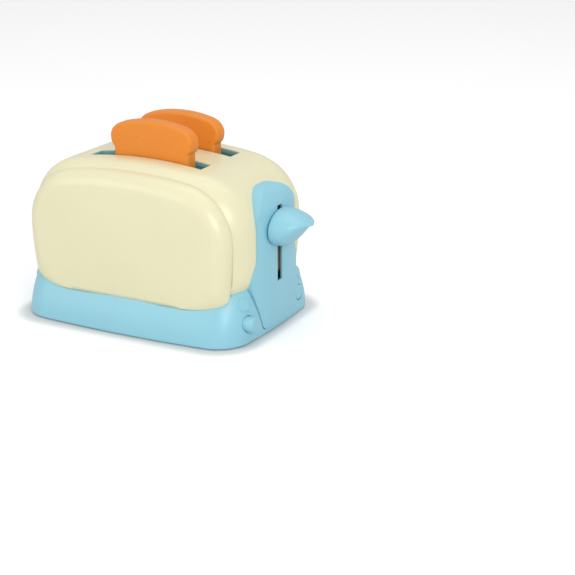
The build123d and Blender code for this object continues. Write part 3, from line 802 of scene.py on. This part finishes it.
@dataclass
class SidePanel:
    """One cream side panel, a cushion-shaped dish on the hood's long side."""

    side: Side
    crown: float = 2.4
    roll_end: float = 1.478
    roll_steps: int = 18
    face_steps: int = 14
    face_middle_z: float = 68.0
    innermost: float = 0.04

    def outline(self, turn: float) -> Array:
        """The panel's closed outline at some way round its rolled border.

        Args:
            turn: how far round the border, in radians.

        Returns:
            The points, from the foot of one end over the top to the other.
        """
        roll, half, height, place = HOOD.border(turn)
        radius = HOOD.shoulder_radius - roll
        centre, shoulder_x, shoulder_z, tilt = HOOD.arch(half, height, radius)
        meet_x = HOOD.arch_radius * math.cos(tilt)
        front = [(x, centre + math.sqrt(HOOD.arch_radius**2 - x**2))
                 for x in np.linspace(0, meet_x, 12, endpoint=False)]
        for angle in np.linspace(tilt, 0, 16):
            front.append((shoulder_x + radius * math.cos(angle), shoulder_z + radius * math.sin(angle)))
        for share in [*np.linspace(0, 0.78, 11)[1:], *(1 - 0.22 * np.linspace(0.88, 0, 9) ** 2)]:
            z = shoulder_z + (HOOD.low - shoulder_z) * share
            front.append((half - HOOD.narrowing(z, shoulder_z, roll), z))
        foot = [(front[-1][0] * (1 - t), HOOD.low) for t in np.linspace(0, 1, 12)[1:-1]]
        half_ring = front + foot
        ring = np.array(half_ring + [(0.0, HOOD.low)] + [(-x, z) for x, z in reversed(half_ring[1:])])
        return np.stack([ring[:, 0], np.full(len(ring), self.side.value * place), ring[:, 1]], 1)

    def build(self, cream: bpy.types.Material) -> bpy.types.Object:
        """Makes the panel.

        Args:
            cream: the shells' finish.

        Returns:
            The piece.
        """
        sign = self.side.value
        rings = [self.outline(turn) for turn in np.linspace(0, self.roll_end, self.roll_steps + 1)]
        edge = rings[-1]
        middle = np.array([0.0, 0.0, self.face_middle_z])
        for share in np.linspace(1, self.innermost, self.face_steps + 1)[1:]:
            ring = middle + (edge - middle) * share
            ring[:, 1] = edge[:, 1] + sign * self.crown * (1 - share**2)
            rings.append(ring)
        faces = capped_faces(len(rings), len(edge))
        piece = make_piece(f"side_shell_{self.side.name.lower()}", np.concatenate(rings), faces)
        recalculate(piece)
        piece.data.materials.append(cream)
        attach(piece, "housing")
        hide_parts(f"side_panel_{self.side.name.lower()}")
        return piece


@dataclass
class Plinth:
    """The blue plinth, with its button holes and the faint bosses on its corners."""

    wall: float = 3.4
    tread: float = 0.8
    foot_gap: float = 1.0
    foot_inset: float = 2.2
    seam: float = 0.45
    rows: int = 30
    rim_limit: float = 45.5
    rim_tries: int = 118
    grid_top: float = 46.0
    grid_levels: int = 93
    hole_reach: tuple[float, float] = (80.0, 100.0)
    hole_radius: float = 6.25
    hole_y: tuple[float, float] = (-41.5, 37.0)
    hole_z: float = 15.5
    boss_radius: float = 5.0
    boss_at: tuple[float, float] = (42.0, 29.6)

    def covered(self, point: Array, z: float) -> bool:
        """Whether a point of the skirt has gone inside the hood or a side panel."""
        x, y = abs(point[0]), abs(point[1])
        if z < HOOD.shelf_z:
            return False
        if y <= HOOD.half_width:
            return x < float(HOOD.surface_x(np.array([y]), np.array([z]))[0])
        if y >= HOOD.half_width + HOOD.panel_depth:
            return False
        return x < HOOD.panel_side_x(z, math.asin((y - HOOD.half_width) / HOOD.panel_depth))

    def rim_heights(self) -> Array:
        """The height at which each line up the skirt meets the shells above it.

        Returns:
            One height for each point of the outline.
        """
        heights = np.linspace(HOOD.shelf_z, self.rim_limit, self.rim_tries)
        outlines = [BELL.outline(z) for z in heights]
        rims = []
        for column in range(len(outlines[0])):
            found = heights[-1]
            for z, outline in zip(heights, outlines):
                if self.covered(outline[column], z):
                    found = z
                    break
            rims.append(found)
        return np.array(rims)

    def lift(self, heights: Array, inset: float) -> Array:
        """Points of the skirt at a height of its own for each line up it.

        Args:
            heights: one height for each line.
            inset: how far inside the outer surface.

        Returns:
            The points.
        """
        levels = np.linspace(0, self.grid_top, self.grid_levels)
        stack = np.stack([BELL.outline(z, inset) for z in levels])
        place = np.clip(heights, 0, self.grid_top) / (levels[1] - levels[0])
        low = np.clip(place.astype(int), 0, len(levels) - 2)
        part = (place - low)[:, None]
        column = np.arange(len(heights))
        flat = stack[low, column] * (1 - part) + stack[low + 1, column] * part
        return np.column_stack([flat, heights])

    def build(self, blue: bpy.types.Material) -> list[bpy.types.Object]:
        """Makes the plinth and its bosses.

        Args:
            blue: the trim's finish.

        Returns:
            The pieces.
        """
        rims = self.rim_heights()
        flat = np.zeros_like(rims)
        loops = [self.lift(flat, self.wall - 0.4), self.lift(flat, self.foot_inset),
                 self.lift(flat + self.foot_gap, self.foot_inset)]
        loops += [self.lift(flat + self.foot_gap + self.tread * (1 - math.cos(t)),
                            self.tread * (1 - math.sin(t))) for t in np.linspace(0, math.pi / 2, 6)[:-1]]
        start = self.foot_gap + self.tread
        for share in np.linspace(0, 1, self.rows):
            loops.append(self.lift(start + (rims - start - 0.9) * share, 0.0))
        loops += [self.lift(rims - 0.45, 0.10), self.lift(rims - 0.12, 0.38), self.lift(rims - 0.1, 0.7),
                  self.lift(rims - 0.6, 1.0), self.lift(np.minimum(rims - 3, 24.0), self.wall),
                  self.lift(flat + 12, self.wall), self.lift(flat + 1.0, self.wall)]
        piece = make_piece("plinth_shell", np.concatenate(loops), looped_faces(len(loops), len(rims)))
        recalculate(piece)
        holes = [lathe_x("hole", [(x, self.hole_radius) for x in self.hole_reach], y, self.hole_z)
                 for y in self.hole_y]
        cut(piece, holes + [self.recess(end) for end in End])
        piece.data.set_sharp_from_angle(angle=math.radians(38))
        piece.data.materials.append(blue)
        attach(piece, "housing")
        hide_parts("base_plinth")
        pieces = [piece]
        for end in End:
            for side in Side:
                pieces.append(self.boss(end, side, blue))
        return pieces

    def recess(self, end: End) -> bpy.types.Object:
        """The shape cut from the skirt for the foot of an end panel, with a seam round it.

        Args:
            end: the end that it's on.

        Returns:
            The cutting shape.
        """
        line = [(half + self.seam, z - self.seam) for half, z in EndPanel(end).profile() if z <= 50.0]
        loop = [(-half, z) for half, z in reversed(line)] + line
        points = [(end.value * x, y, z) for x in (84.0, 104.0) for y, z in loop]
        count = len(loop)
        faces = grid_faces(2, count, closed=True)
        faces += [tuple(range(count)), tuple(range(count, 2 * count))]
        piece = make_piece("recess", np.array(points), faces)
        recalculate(piece)
        return piece

    def boss(self, end: End, side: Side, blue: bpy.types.Material) -> bpy.types.Object:
        """One low round boss on a corner of the skirt.

        Args:
            end: the end that it's on.
            side: the side that it's on.
            blue: the trim's finish.

        Returns:
            The piece.
        """
        y, z = self.boss_at
        here = self.skirt_point(y, z)
        across = self.skirt_point(y + 2, z) - self.skirt_point(y - 2, z)
        upward = self.skirt_point(y, z + 2) - self.skirt_point(y, z - 2)
        normal = Vector(np.cross(across, upward)).normalized()
        profile = [(-4.0, self.boss_radius), (0.15, self.boss_radius), (0.42, self.boss_radius - 0.3),
                   (0.5, self.boss_radius - 0.8), (0.55, self.boss_radius - 2.5), (0.56, 0.4)]
        name = f"corner_boss_{end.name.lower()}_{side.name.lower()}"
        piece = lathe_x(name, profile, 0.0, 0.0, steps=56)
        turn = Vector((1, 0, 0)).rotation_difference(normal).to_matrix().to_4x4()
        piece.data.transform(Matrix.Translation(Vector(here) * MM) @ turn)
        piece.data.transform(Matrix.Diagonal((end.value, side.value, 1, 1)))
        recalculate(piece)
        piece.data.materials.append(blue)
        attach(piece, "housing")
        return piece

    def skirt_point(self, y: float, z: float) -> Array:
        """The skirt's outer point on the lever end's left half at one y and z."""
        outline = BELL.outline(z)[: BELL.end_steps + BELL.corner_steps]
        return np.array([np.interp(y, outline[:, 1], outline[:, 0]), y, z])


@dataclass
class EndPanel:
    """A blue end panel: rounded head, waist, flare and a foot let into the plinth."""

    end: End
    face_x: float = 96.3
    flat_half: float = 8.0
    bow_radius: float = 80.0
    brow_z: float = 92.6
    brow_radius: float = 17.5
    head_z: float = 108.2
    head_half: float = 28.7
    head_radius: float = 24.0
    waist_z: float = 60.5
    flare_z: float = 46.0
    flare_half: float = 34.6
    seam_z: float = 39.0
    toe_z: float = 10.5
    toe_half: float = 23.8
    foot_z: float = 5.2
    foot_half: float = 19.0
    slot_half: float = 3.7
    slot_low: float = 37.1
    slot_high: float = 94.3
    skirt_top: float = 44.0
    sink: float = 2.6
    wall: float = 1.5
    rim: float = 1.1

    def profile(self) -> list[tuple[float, float]]:
        """The outline as half widths at rising heights.

        Returns:
            The (half width, z) pairs.
        """
        rows = []
        for turn in np.linspace(0, math.pi / 2, 6):
            rows.append((self.foot_half + (self.toe_half - self.foot_half) * math.sin(turn),
                         self.foot_z + (self.toe_z - self.foot_z) * (1 - math.cos(turn))))
        slant = (self.flare_half - self.toe_half) / (self.seam_z - self.toe_z)
        for z in [*np.linspace(self.toe_z, self.slot_low, 10)[1:], self.seam_z]:
            rows.append((self.toe_half + slant * (z - self.toe_z), float(z)))
        rows += [(self.flare_half, z) for z in np.linspace(self.seam_z, self.flare_z, 4)[1:]]
        for share in np.linspace(0, 1, 8)[1:]:
            ease = (1 - math.cos(math.pi * share)) / 2
            rows.append((self.flare_half + (self.head_half - self.flare_half) * ease,
                         self.flare_z + (self.waist_z - self.flare_z) * share))
        side_z = self.head_z - self.head_radius
        rows += [(self.head_half, z) for z in np.linspace(self.waist_z, side_z, 7)[1:]]
        slot_turn = math.asin((self.slot_high - side_z) / self.head_radius)
        turns = [*np.linspace(0, slot_turn, 4)[1:], *np.linspace(slot_turn, math.pi / 2, 12)[1:]]
        rows += [(self.head_half - self.head_radius * (1 - math.cos(t)),
                  side_z + self.head_radius * math.sin(t)) for t in turns]
        return rows

    def face(self, y: float, z: float) -> float:
        """The x of the panel's face at a point seen along X."""
        return float(self.face_x - bend(abs(y), self.flat_half, self.bow_radius)
                     - bend(z, self.brow_z, self.brow_radius))

    def seat(self, y: float, z: float) -> float:
        """The x of what lies behind the panel, a little inside it."""
        draw = (z / BELL.reference) ** 2
        length = BELL.half_length - BELL.end_draw * draw
        corner_y = BELL.half_width - BELL.side_draw * draw - BELL.side_bow
        radius = (corner_y**2 + BELL.end_bow**2) / (2 * BELL.end_bow)
        skirt, hood = 0.0, 0.0
        if z < self.skirt_top:
            skirt = length - radius + math.sqrt(radius**2 - y**2)
        if z > HOOD.shelf_z:
            hood = float(HOOD.surface_x(np.array([abs(y)]), np.array([z]))[0])
        return max(skirt, hood) - self.sink

    def build(self, blue: bpy.types.Material) -> bpy.types.Object:
        """Makes the panel.

        Args:
            blue: the trim's finish.

        Returns:
            The piece.
        """
        sign = self.end.value
        shares = [0, 0.12, 0.26, 0.4, 0.54, 0.67, 0.78, 0.87, 0.94, 1]
        profile = self.profile()
        rows = []
        for half, z in profile:
            right = [self.slot_half + (half - self.slot_half) * t for t in shares]
            line = [-y for y in reversed(right)] + right
            rows.append([(sign * self.face(y, z), y, z) for y in line])
        columns = len(rows[0])
        middle = columns // 2 - 1

        def open_cell(row: int, column: int) -> bool:
            """Whether a cell lies in the lever's slot."""
            low, high = profile[row][1], profile[row + 1][1]
            inside = self.slot_low - 0.01 <= low and high <= self.slot_high + 0.01
            return self.end is End.FRONT and column == middle and inside

        points = [p for row in rows for p in row]
        faces = grid_faces(len(rows), columns, skip=open_cell)
        last = (len(rows) - 1) * columns
        border = [*range(columns), *[r * columns + columns - 1 for r in range(1, len(rows))],
                  *[last + c for c in range(columns - 2, -1, -1)],
                  *[r * columns for r in range(len(rows) - 2, 0, -1)]]
        first = len(points)
        for number in border:
            x, y, z = points[number]
            points.append((sign * min(self.seat(y, z), abs(x) - 1.0), y, z))
        for k, number in enumerate(border):
            following = (k + 1) % len(border)
            faces.append((number, border[following], first + following, first + k))
        piece = make_piece(f"end_panel_{self.end.name.lower()}", np.array(points), faces)
        recalculate(piece)
        if piece.data.polygons[0].normal.x * sign < 0:
            piece.data.flip_normals()
        thicken(piece, self.wall)
        soften(piece, self.rim, angle=40)
        settle(piece)
        piece.data.materials.append(blue)
        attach(piece, "housing")
        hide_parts(f"{self.end.name.lower()}_panel")
        return piece


# ------------------------------------------------------------------------------ moving pieces
@dataclass
class LeverKnob:
    """The lever's knob: a wide pad whose underside sweeps up to a rounded beak."""

    back_x: float = 96.8
    length: float = 26.1
    half_width: float = 20.4
    side_power: float = 2.2
    side_bluntness: float = 0.62
    top_z: float = 92.3
    top_fall: float = 9.8
    top_power: float = 2.5
    low_z: float = 64.5
    low_rise: float = 17.3
    low_power: float = 1.45
    rim: float = 1.3
    stations: int = 44
    steps: int = 96

    def ring(self, share: float, inset: float = 0.0, x: Optional[float] = None) -> Array:
        """One of the knob's oval rings.

        Args:
            share: how far along the knob it stands.
            inset: how far it is drawn in, in millimetres.
            x: its place along X, where that isn't given by its share.

        Returns:
            The ring's points.
        """
        turn = np.linspace(0, 2 * math.pi, self.steps, endpoint=False)
        wide = self.half_width * (1 - share**self.side_power) ** self.side_bluntness - inset
        top = self.top_z - self.top_fall * share**self.top_power
        low = self.low_z + self.low_rise * (1 - math.cos(math.pi * share**self.low_power)) / 2
        tall = (top - low) / 2 - inset
        place = self.back_x + self.length * share if x is None else x
        return np.stack([np.full(self.steps, place), wide * np.cos(turn),
                         (top + low) / 2 + tall * np.sin(turn)], 1)

    def build(self, blue: bpy.types.Material) -> bpy.types.Object:
        """Makes the knob.

        Args:
            blue: the trim's finish.

        Returns:
            The piece.
        """
        rings = [self.ring(0, self.rim + 2.0, self.back_x)]
        for turn in np.linspace(0, math.pi / 2, 7):
            x = self.back_x + self.rim * (1 - math.cos(turn))
            rings.append(self.ring((x - self.back_x) / self.length, self.rim * (1 - math.sin(turn)), x))
        first = self.rim / self.length
        for turn in np.linspace(0, math.pi / 2, self.stations)[1:-1]:
            rings.append(self.ring(first + (1 - first) * math.sin(turn)))
        piece = make_piece("beak_knob", np.concatenate(rings), capped_faces(len(rings), self.steps))
        recalculate(piece)
        piece.data.materials.append(blue)
        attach(piece, "carriage")
        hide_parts("lever_knob")
        return piece


@dataclass
class PushButton:
    """A round push button on a corner of the plinth."""

    node: str
    y: float
    face_x: float
    radius: float = 5.8
    rim: float = 1.3
    back_x: float = 82.5
    flange_radius: float = 7.4
    flange_x: float = 84.5
    z: float = 15.5

    def build(self, blue: bpy.types.Material) -> bpy.types.Object:
        """Makes the button.

        Args:
            blue: the trim's finish.

        Returns:
            The piece.
        """
        profile = [(self.back_x, 0.5), (self.back_x, self.flange_radius),
                   (self.flange_x, self.flange_radius), (self.flange_x, self.radius)]
        for turn in np.linspace(0, math.pi / 2, 8):
            profile.append((self.face_x - self.rim * (1 - math.sin(turn)),
                            self.radius - self.rim * (1 - math.cos(turn))))
        profile += [(self.face_x - 0.04, self.radius * 0.5), (self.face_x - 0.08, 0.4)]
        piece = lathe_x(f"{self.node}_cap", profile, self.y, self.z)
        piece.data.set_sharp_from_angle(angle=math.radians(50))
        piece.data.materials.append(blue)
        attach(piece, self.node)
        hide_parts(self.node)
        return piece


@dataclass
class Toast:
    """A moulded slice of toast standing in its slot."""

    side: Side
    shift: float
    foot_z: float = 72.0
    height: float = 79.0
    half_width: float = 34.9
    neck_half: float = 31.7
    foot_half: float = 32.6
    foot_radius: float = 6.0
    neck_z: float = 57.3
    neck_lead: float = 1.5
    cheek_z: float = 64.6
    thickness: float = 12.0
    edge: float = 2.5
    slot_middle: float = 21.25

    def outline(self) -> Array:
        """The slice's outline, from its foot's middle round to the start again.

        Returns:
            The (x, z) points, z from the slice's foot.
        """
        radius, lead_z = self.foot_radius, self.neck_z - self.neck_lead
        right = [(x, 0.0) for x in np.linspace(0, self.foot_half - radius, 8, endpoint=False)]
        for turn in np.linspace(-math.pi / 2, 0, 8, endpoint=False):
            right.append((self.foot_half - radius + radius * math.cos(turn),
                          radius + radius * math.sin(turn)))
        for share in np.linspace(0, 1, 12, endpoint=False):
            right.append((self.foot_half + (self.neck_half - self.foot_half) * share,
                          radius + (lead_z - radius) * share))
        controls = np.array([(self.neck_half, lead_z), (self.neck_half + 0.1, self.neck_z),
                             (self.neck_half + 2.2, self.neck_z + 2.6), (self.half_width, self.cheek_z),
                             (self.half_width - 0.7, self.cheek_z + 4),
                             (self.half_width - 3.2, self.height - 6.8),
                             (self.half_width - 8.0, self.height - 3.8),
                             (18.5, self.height - 1.7), (9.5, self.height - 0.4), (0, self.height)])
        right += smooth_line(controls, 40)[:-1]
        half = np.array(right)
        left = (half * [-1, 1])[::-1]
        return np.concatenate([half, [[0.0, self.height]], left[:-1]])

    def build(self, toast: bpy.types.Material) -> bpy.types.Object:
        """Makes the slice.

        Args:
            toast: the slice's finish.

        Returns:
            The piece.
        """
        outline = self.outline()
        ahead = np.roll(outline, -1, 0) - np.roll(outline, 1, 0)
        normal = np.stack([ahead[:, 1], -ahead[:, 0]], 1)
        normal /= np.linalg.norm(normal, axis=1)[:, None]
        half = self.thickness / 2
        middle = self.side.value * self.slot_middle
        rings = []
        turns = np.linspace(0, math.pi / 2, 9)
        for turn in turns:
            rings.append((outline - normal * self.edge * (1 - math.sin(turn)),
                          -half + self.edge * (1 - math.cos(turn))))
        for turn in turns[::-1]:
            rings.append((outline - normal * self.edge * (1 - math.sin(turn)),
                          half - self.edge * (1 - math.cos(turn))))
        points = [np.column_stack([ring[:, 0] + self.shift, np.full(len(ring), middle + y),
                                   ring[:, 1] + self.foot_z]) for ring, y in rings]
        faces = capped_faces(len(points), len(outline))
        label = self.side.name.lower()
        piece = make_piece(f"slice_{label}", np.concatenate(points), faces)
        recalculate(piece)
        piece.data.materials.append(toast)
        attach(piece, f"toast_{label}")
        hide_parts(f"toast_{label}")
        return piece


def smooth_line(controls: Array, count: int) -> list[tuple[float, float]]:
    """Points on a smooth line through some control points.

    Args:
        controls: the points that it passes through.
        count: how many points to give.

    Returns:
        The points, from the first control point to the last.
    """
    padded = np.vstack([2 * controls[0] - controls[1], controls, 2 * controls[-1] - controls[-2]])
    spans = len(controls) - 1
    line = []
    for at in np.linspace(0, spans, count):
        k = min(int(at), spans - 1)
        t = at - k
        a, b, c, d = padded[k: k + 4]
        line.append(tuple(0.5 * (2 * b + (c - a) * t + (2 * a - 5 * b + 4 * c - d) * t**2
                                 + (3 * b - a - 3 * c + d) * t**3)))
    return line


class Mechanism:
    """The carried-over pieces inside: wells, carriage, rods, springs, screws and plates."""

    def dress(self, finishes: dict[Finish, bpy.types.Material]) -> int:
        """Gives each carried-over piece its finish.

        Args:
            finishes: the materials by finish.

        Returns:
            How many pieces were dressed.
        """
        dressed = 0
        for row in frame["record"]["subparts"]:
            piece = frame["nodes"][row["node"]]
            material = finishes[Finish(row["material_slot"])]
            if not piece.material_slots:
                piece.data.materials.append(material)
            for place in piece.material_slots:
                place.material = material
            dressed += 1
        return dressed


class Springs:
    """The coil springs, each a steel copy of its node's mesh, fixed to the housing."""

    def build(self, steel: bpy.types.Material) -> list[bpy.types.Object]:
        """Makes a coil for each spring that the record says a joint presses.

        Args:
            steel: the springs' finish.

        Returns:
            The pieces.
        """
        return [self.coil(row, steel) for joint in frame["record"]["behaviour"]["joints"]
                for row in joint.get("deforming_nodes", [])]

    def coil(self, row: dict, steel: bpy.types.Material) -> bpy.types.Object:
        """One coil, standing for its node.

        Args:
            row: the record's row for the spring, with its node, direction and fixed end.
            steel: the springs' finish.

        Returns:
            The piece.
        """
        piece = bpy.data.objects.new(f"{row['node']}_coil", frame["nodes"][row["node"]].data.copy())
        bpy.context.scene.collection.objects.link(piece)
        piece.data.materials.clear()
        piece.data.materials.append(steel)
        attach(piece, "housing")
        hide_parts(row["node"])
        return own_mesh(piece)


# ------------------------------------------------------------------------------ studio
@dataclass
class Studio:
    """A pale floor, soft lamps and the camera."""

    azimuth: float = 27.595
    elevation: float = 19.051
    lens: float = 93.913
    sensor: float = 36.0
    distance: float = 1153.656
    image: float = 575.0
    origin_px: tuple[float, float] = (169.393, 306.655)
    world: float = 0.66
    floor_tone: float = 0.74
    # painted shade: the floor's glow to the camera drops to this at the plinth's outline and recovers over
    # this width, so the floor round the base reads darker than its real shadow alone makes it
    painted_shade_glow: float = 0.0
    painted_shade_width: float = 0.012
    floor_lift: float = 0.34

    def camera(self) -> bpy.types.Object:
        """Places the camera so that the toaster's origin falls on its place in the picture.

        Returns:
            The camera.
        """
        turn, rise = math.radians(self.azimuth), math.radians(self.elevation)
        back = Vector((math.sin(turn) * math.cos(rise), -math.cos(turn) * math.cos(rise), math.sin(rise)))
        right = Vector((math.cos(turn), math.sin(turn), 0))
        up = back.cross(right)
        focal = self.lens / self.sensor * self.image
        across = (self.origin_px[0] - self.image / 2) / focal * self.distance
        upward = (self.image / 2 - self.origin_px[1]) / focal * self.distance
        place = back * self.distance - right * across - up * upward
        data = bpy.data.cameras.new("camera")
        data.lens = self.lens
        data.sensor_width = self.sensor
        data.clip_start, data.clip_end = 0.05, 50.0
        made = bpy.data.objects.new("camera", data)
        turned = Matrix((right, up, back)).transposed().to_4x4()
        made.matrix_world = Matrix.Translation(place * MM) @ turned
        bpy.context.scene.collection.objects.link(made)
        bpy.context.scene.camera = made
        return made

    def lamp(self, name: str, place: tuple[float, float, float], size: float, watts: float,
             tint: Colour = (1, 1, 1)) -> bpy.types.Object:
        """A soft square lamp aimed at the toaster.

        Args:
            name: the lamp's name.
            place: where it stands, in metres.
            size: its side in metres.
            watts: its power.
            tint: its colour.

        Returns:
            The lamp.
        """
        data = bpy.data.lights.new(name, "AREA")
        data.energy, data.size, data.color = watts, size, tint
        made = bpy.data.objects.new(name, data)
        made.location = place
        aim = Vector((0, 0, 0.06)) - Vector(place)
        made.rotation_mode = "QUATERNION"
        made.rotation_quaternion = aim.to_track_quat("-Z", "Y")
        bpy.context.scene.collection.objects.link(made)
        return made

    def backdrop(self) -> None:
        """Makes the world and the floor, white to the camera and pale to the lamps, with painted shade on
        the floor round the plinth's outline.
        """
        world = bpy.data.worlds.new("studio")
        bpy.context.scene.world = world
        world.use_nodes = True
        tree = world.node_tree
        link = tree.links.new
        base = tree.nodes["Background"]
        base.inputs["Color"].default_value = (1, 1, 1, 1)
        base.inputs["Strength"].default_value = self.world
        white = node(tree, "ShaderNodeBackground", Color=(1, 1, 1, 1), Strength=1.0)
        path = node(tree, "ShaderNodeLightPath")
        mixed = node(tree, "ShaderNodeMixShader")
        link(path.outputs["Is Camera Ray"], mixed.inputs[0])
        link(base.outputs[0], mixed.inputs[1])
        link(white.outputs[0], mixed.inputs[2])
        link(mixed.outputs[0], tree.nodes["World Output"].inputs["Surface"])
        half = 8.0
        mesh = bpy.data.meshes.new("floor")
        mesh.from_pydata([(-half, -half, 0), (half, -half, 0), (half, half, 0), (-half, half, 0)],
                         [], [(0, 1, 2, 3)])
        floor = bpy.data.objects.new("floor", mesh)
        floor.location.z = -0.00005
        bpy.context.scene.collection.objects.link(floor)
        paper = bpy.data.materials.new("paper")
        paper.use_nodes = True
        tree = paper.node_tree
        shader = tree.nodes["Principled BSDF"]
        shader.inputs["Base Color"].default_value = (*(self.floor_tone,) * 3, 1)
        shader.inputs["Roughness"].default_value = 0.9
        shader.inputs["Specular IOR Level"].default_value = 0.1
        glow = node(tree, "ShaderNodeEmission", Color=(1, 1, 1, 1))
        path = node(tree, "ShaderNodeLightPath")
        # painted shade: the glow below is faded out near the plinth's outline by distance from it, which
        # paints a dark band round the base on top of its real shadow
        place = node(tree, "ShaderNodeTexCoord")
        folded = node(tree, "ShaderNodeVectorMath", operation="ABSOLUTE")
        beyond = node(tree, "ShaderNodeVectorMath", operation="SUBTRACT")
        outside = node(tree, "ShaderNodeVectorMath", operation="MAXIMUM")
        reach = node(tree, "ShaderNodeVectorMath", operation="LENGTH")
        radius = BELL.corner_radius * MM
        beyond.inputs[1].default_value = (BELL.half_length * MM - radius, BELL.half_width * MM - radius, 0)
        tree.links.new(place.outputs["Object"], folded.inputs[0])
        tree.links.new(folded.outputs[0], beyond.inputs[0])
        tree.links.new(beyond.outputs[0], outside.inputs[0])
        tree.links.new(outside.outputs[0], reach.inputs[0])
        painted_shade_ramp = node(tree, "ShaderNodeMapRange", interpolation_type="SMOOTHSTEP")
        for label, value in zip(("From Min", "From Max", "To Min", "To Max"),
                                (radius, radius + self.painted_shade_width, self.painted_shade_glow, self.floor_lift)):
            painted_shade_ramp.inputs[label].default_value = value
        tree.links.new(reach.outputs["Value"], painted_shade_ramp.inputs["Value"])
        lift = node(tree, "ShaderNodeMath", operation="MULTIPLY")
        tree.links.new(path.outputs["Is Camera Ray"], lift.inputs[0])
        tree.links.new(painted_shade_ramp.outputs[0], lift.inputs[1])
        tree.links.new(lift.outputs[0], glow.inputs["Strength"])
        added = node(tree, "ShaderNodeAddShader")
        tree.links.new(shader.outputs[0], added.inputs[0])
        tree.links.new(glow.outputs[0], added.inputs[1])
        tree.links.new(added.outputs[0], tree.nodes["Material Output"].inputs["Surface"])
        mesh.materials.append(paper)

    def build(self) -> None:
        """Makes the camera, the backdrop and the lamps."""
        self.camera()
        self.backdrop()
        self.lamp("over", (0.1, 0.35, 1.5), 1.4, 5.5)
        self.lamp("left", (-1.0, -1.4, 0.8), 1.2, 7.0, (1.0, 0.985, 0.96))
        self.lamp("right", (1.05, -0.95, 0.7), 0.6, 8.0)
        scene = bpy.context.scene
        scene.view_settings.view_transform = "Standard"


def main() -> None:
    """Builds every piece in order and reports it."""
    logging.basicConfig(level=logging.INFO, format="%(name)s: %(message)s")
    Studio().build()
    build_moulded_grain()
    build_speckle()
    finishes = {finish: FINISHES[finish].material() for finish in Finish}
    LOG.info("carried over and dressed: %d", Mechanism().dress(finishes))
    made = [Hood().build(finishes[Finish.CREAM])]
    made += [SlotLip(side).build(finishes[Finish.WELL]) for side in Side]
    made += [SidePanel(side).build(finishes[Finish.CREAM]) for side in Side]
    made += Plinth().build(finishes[Finish.BLUE])
    made.append(EndPanel(End.FRONT).build(finishes[Finish.BLUE]))
    made.append(EndPanel(End.REAR, brow_z=85.0, head_z=100.5).build(finishes[Finish.BLUE]))
    made.append(LeverKnob().build(finishes[Finish.BLUE]))
    made.append(PushButton("release_button", -41.5, 98.5).build(finishes[Finish.BLUE]))
    made.append(PushButton("pretend_button", 37.0, 93.2).build(finishes[Finish.BLUE]))
    made.append(Toast(Side.RIGHT, 4.5).build(finishes[Finish.TOAST]))
    made.append(Toast(Side.LEFT, 1.5, height=77.5, neck_z=55.8, cheek_z=63.0).build(finishes[Finish.TOAST]))
    made += Springs().build(finishes[Finish.STEEL])
    for piece in made:
        LOG.info("%s: %d faces", piece.name, len(piece.data.polygons))


if __name__ == "__main__":
    main()
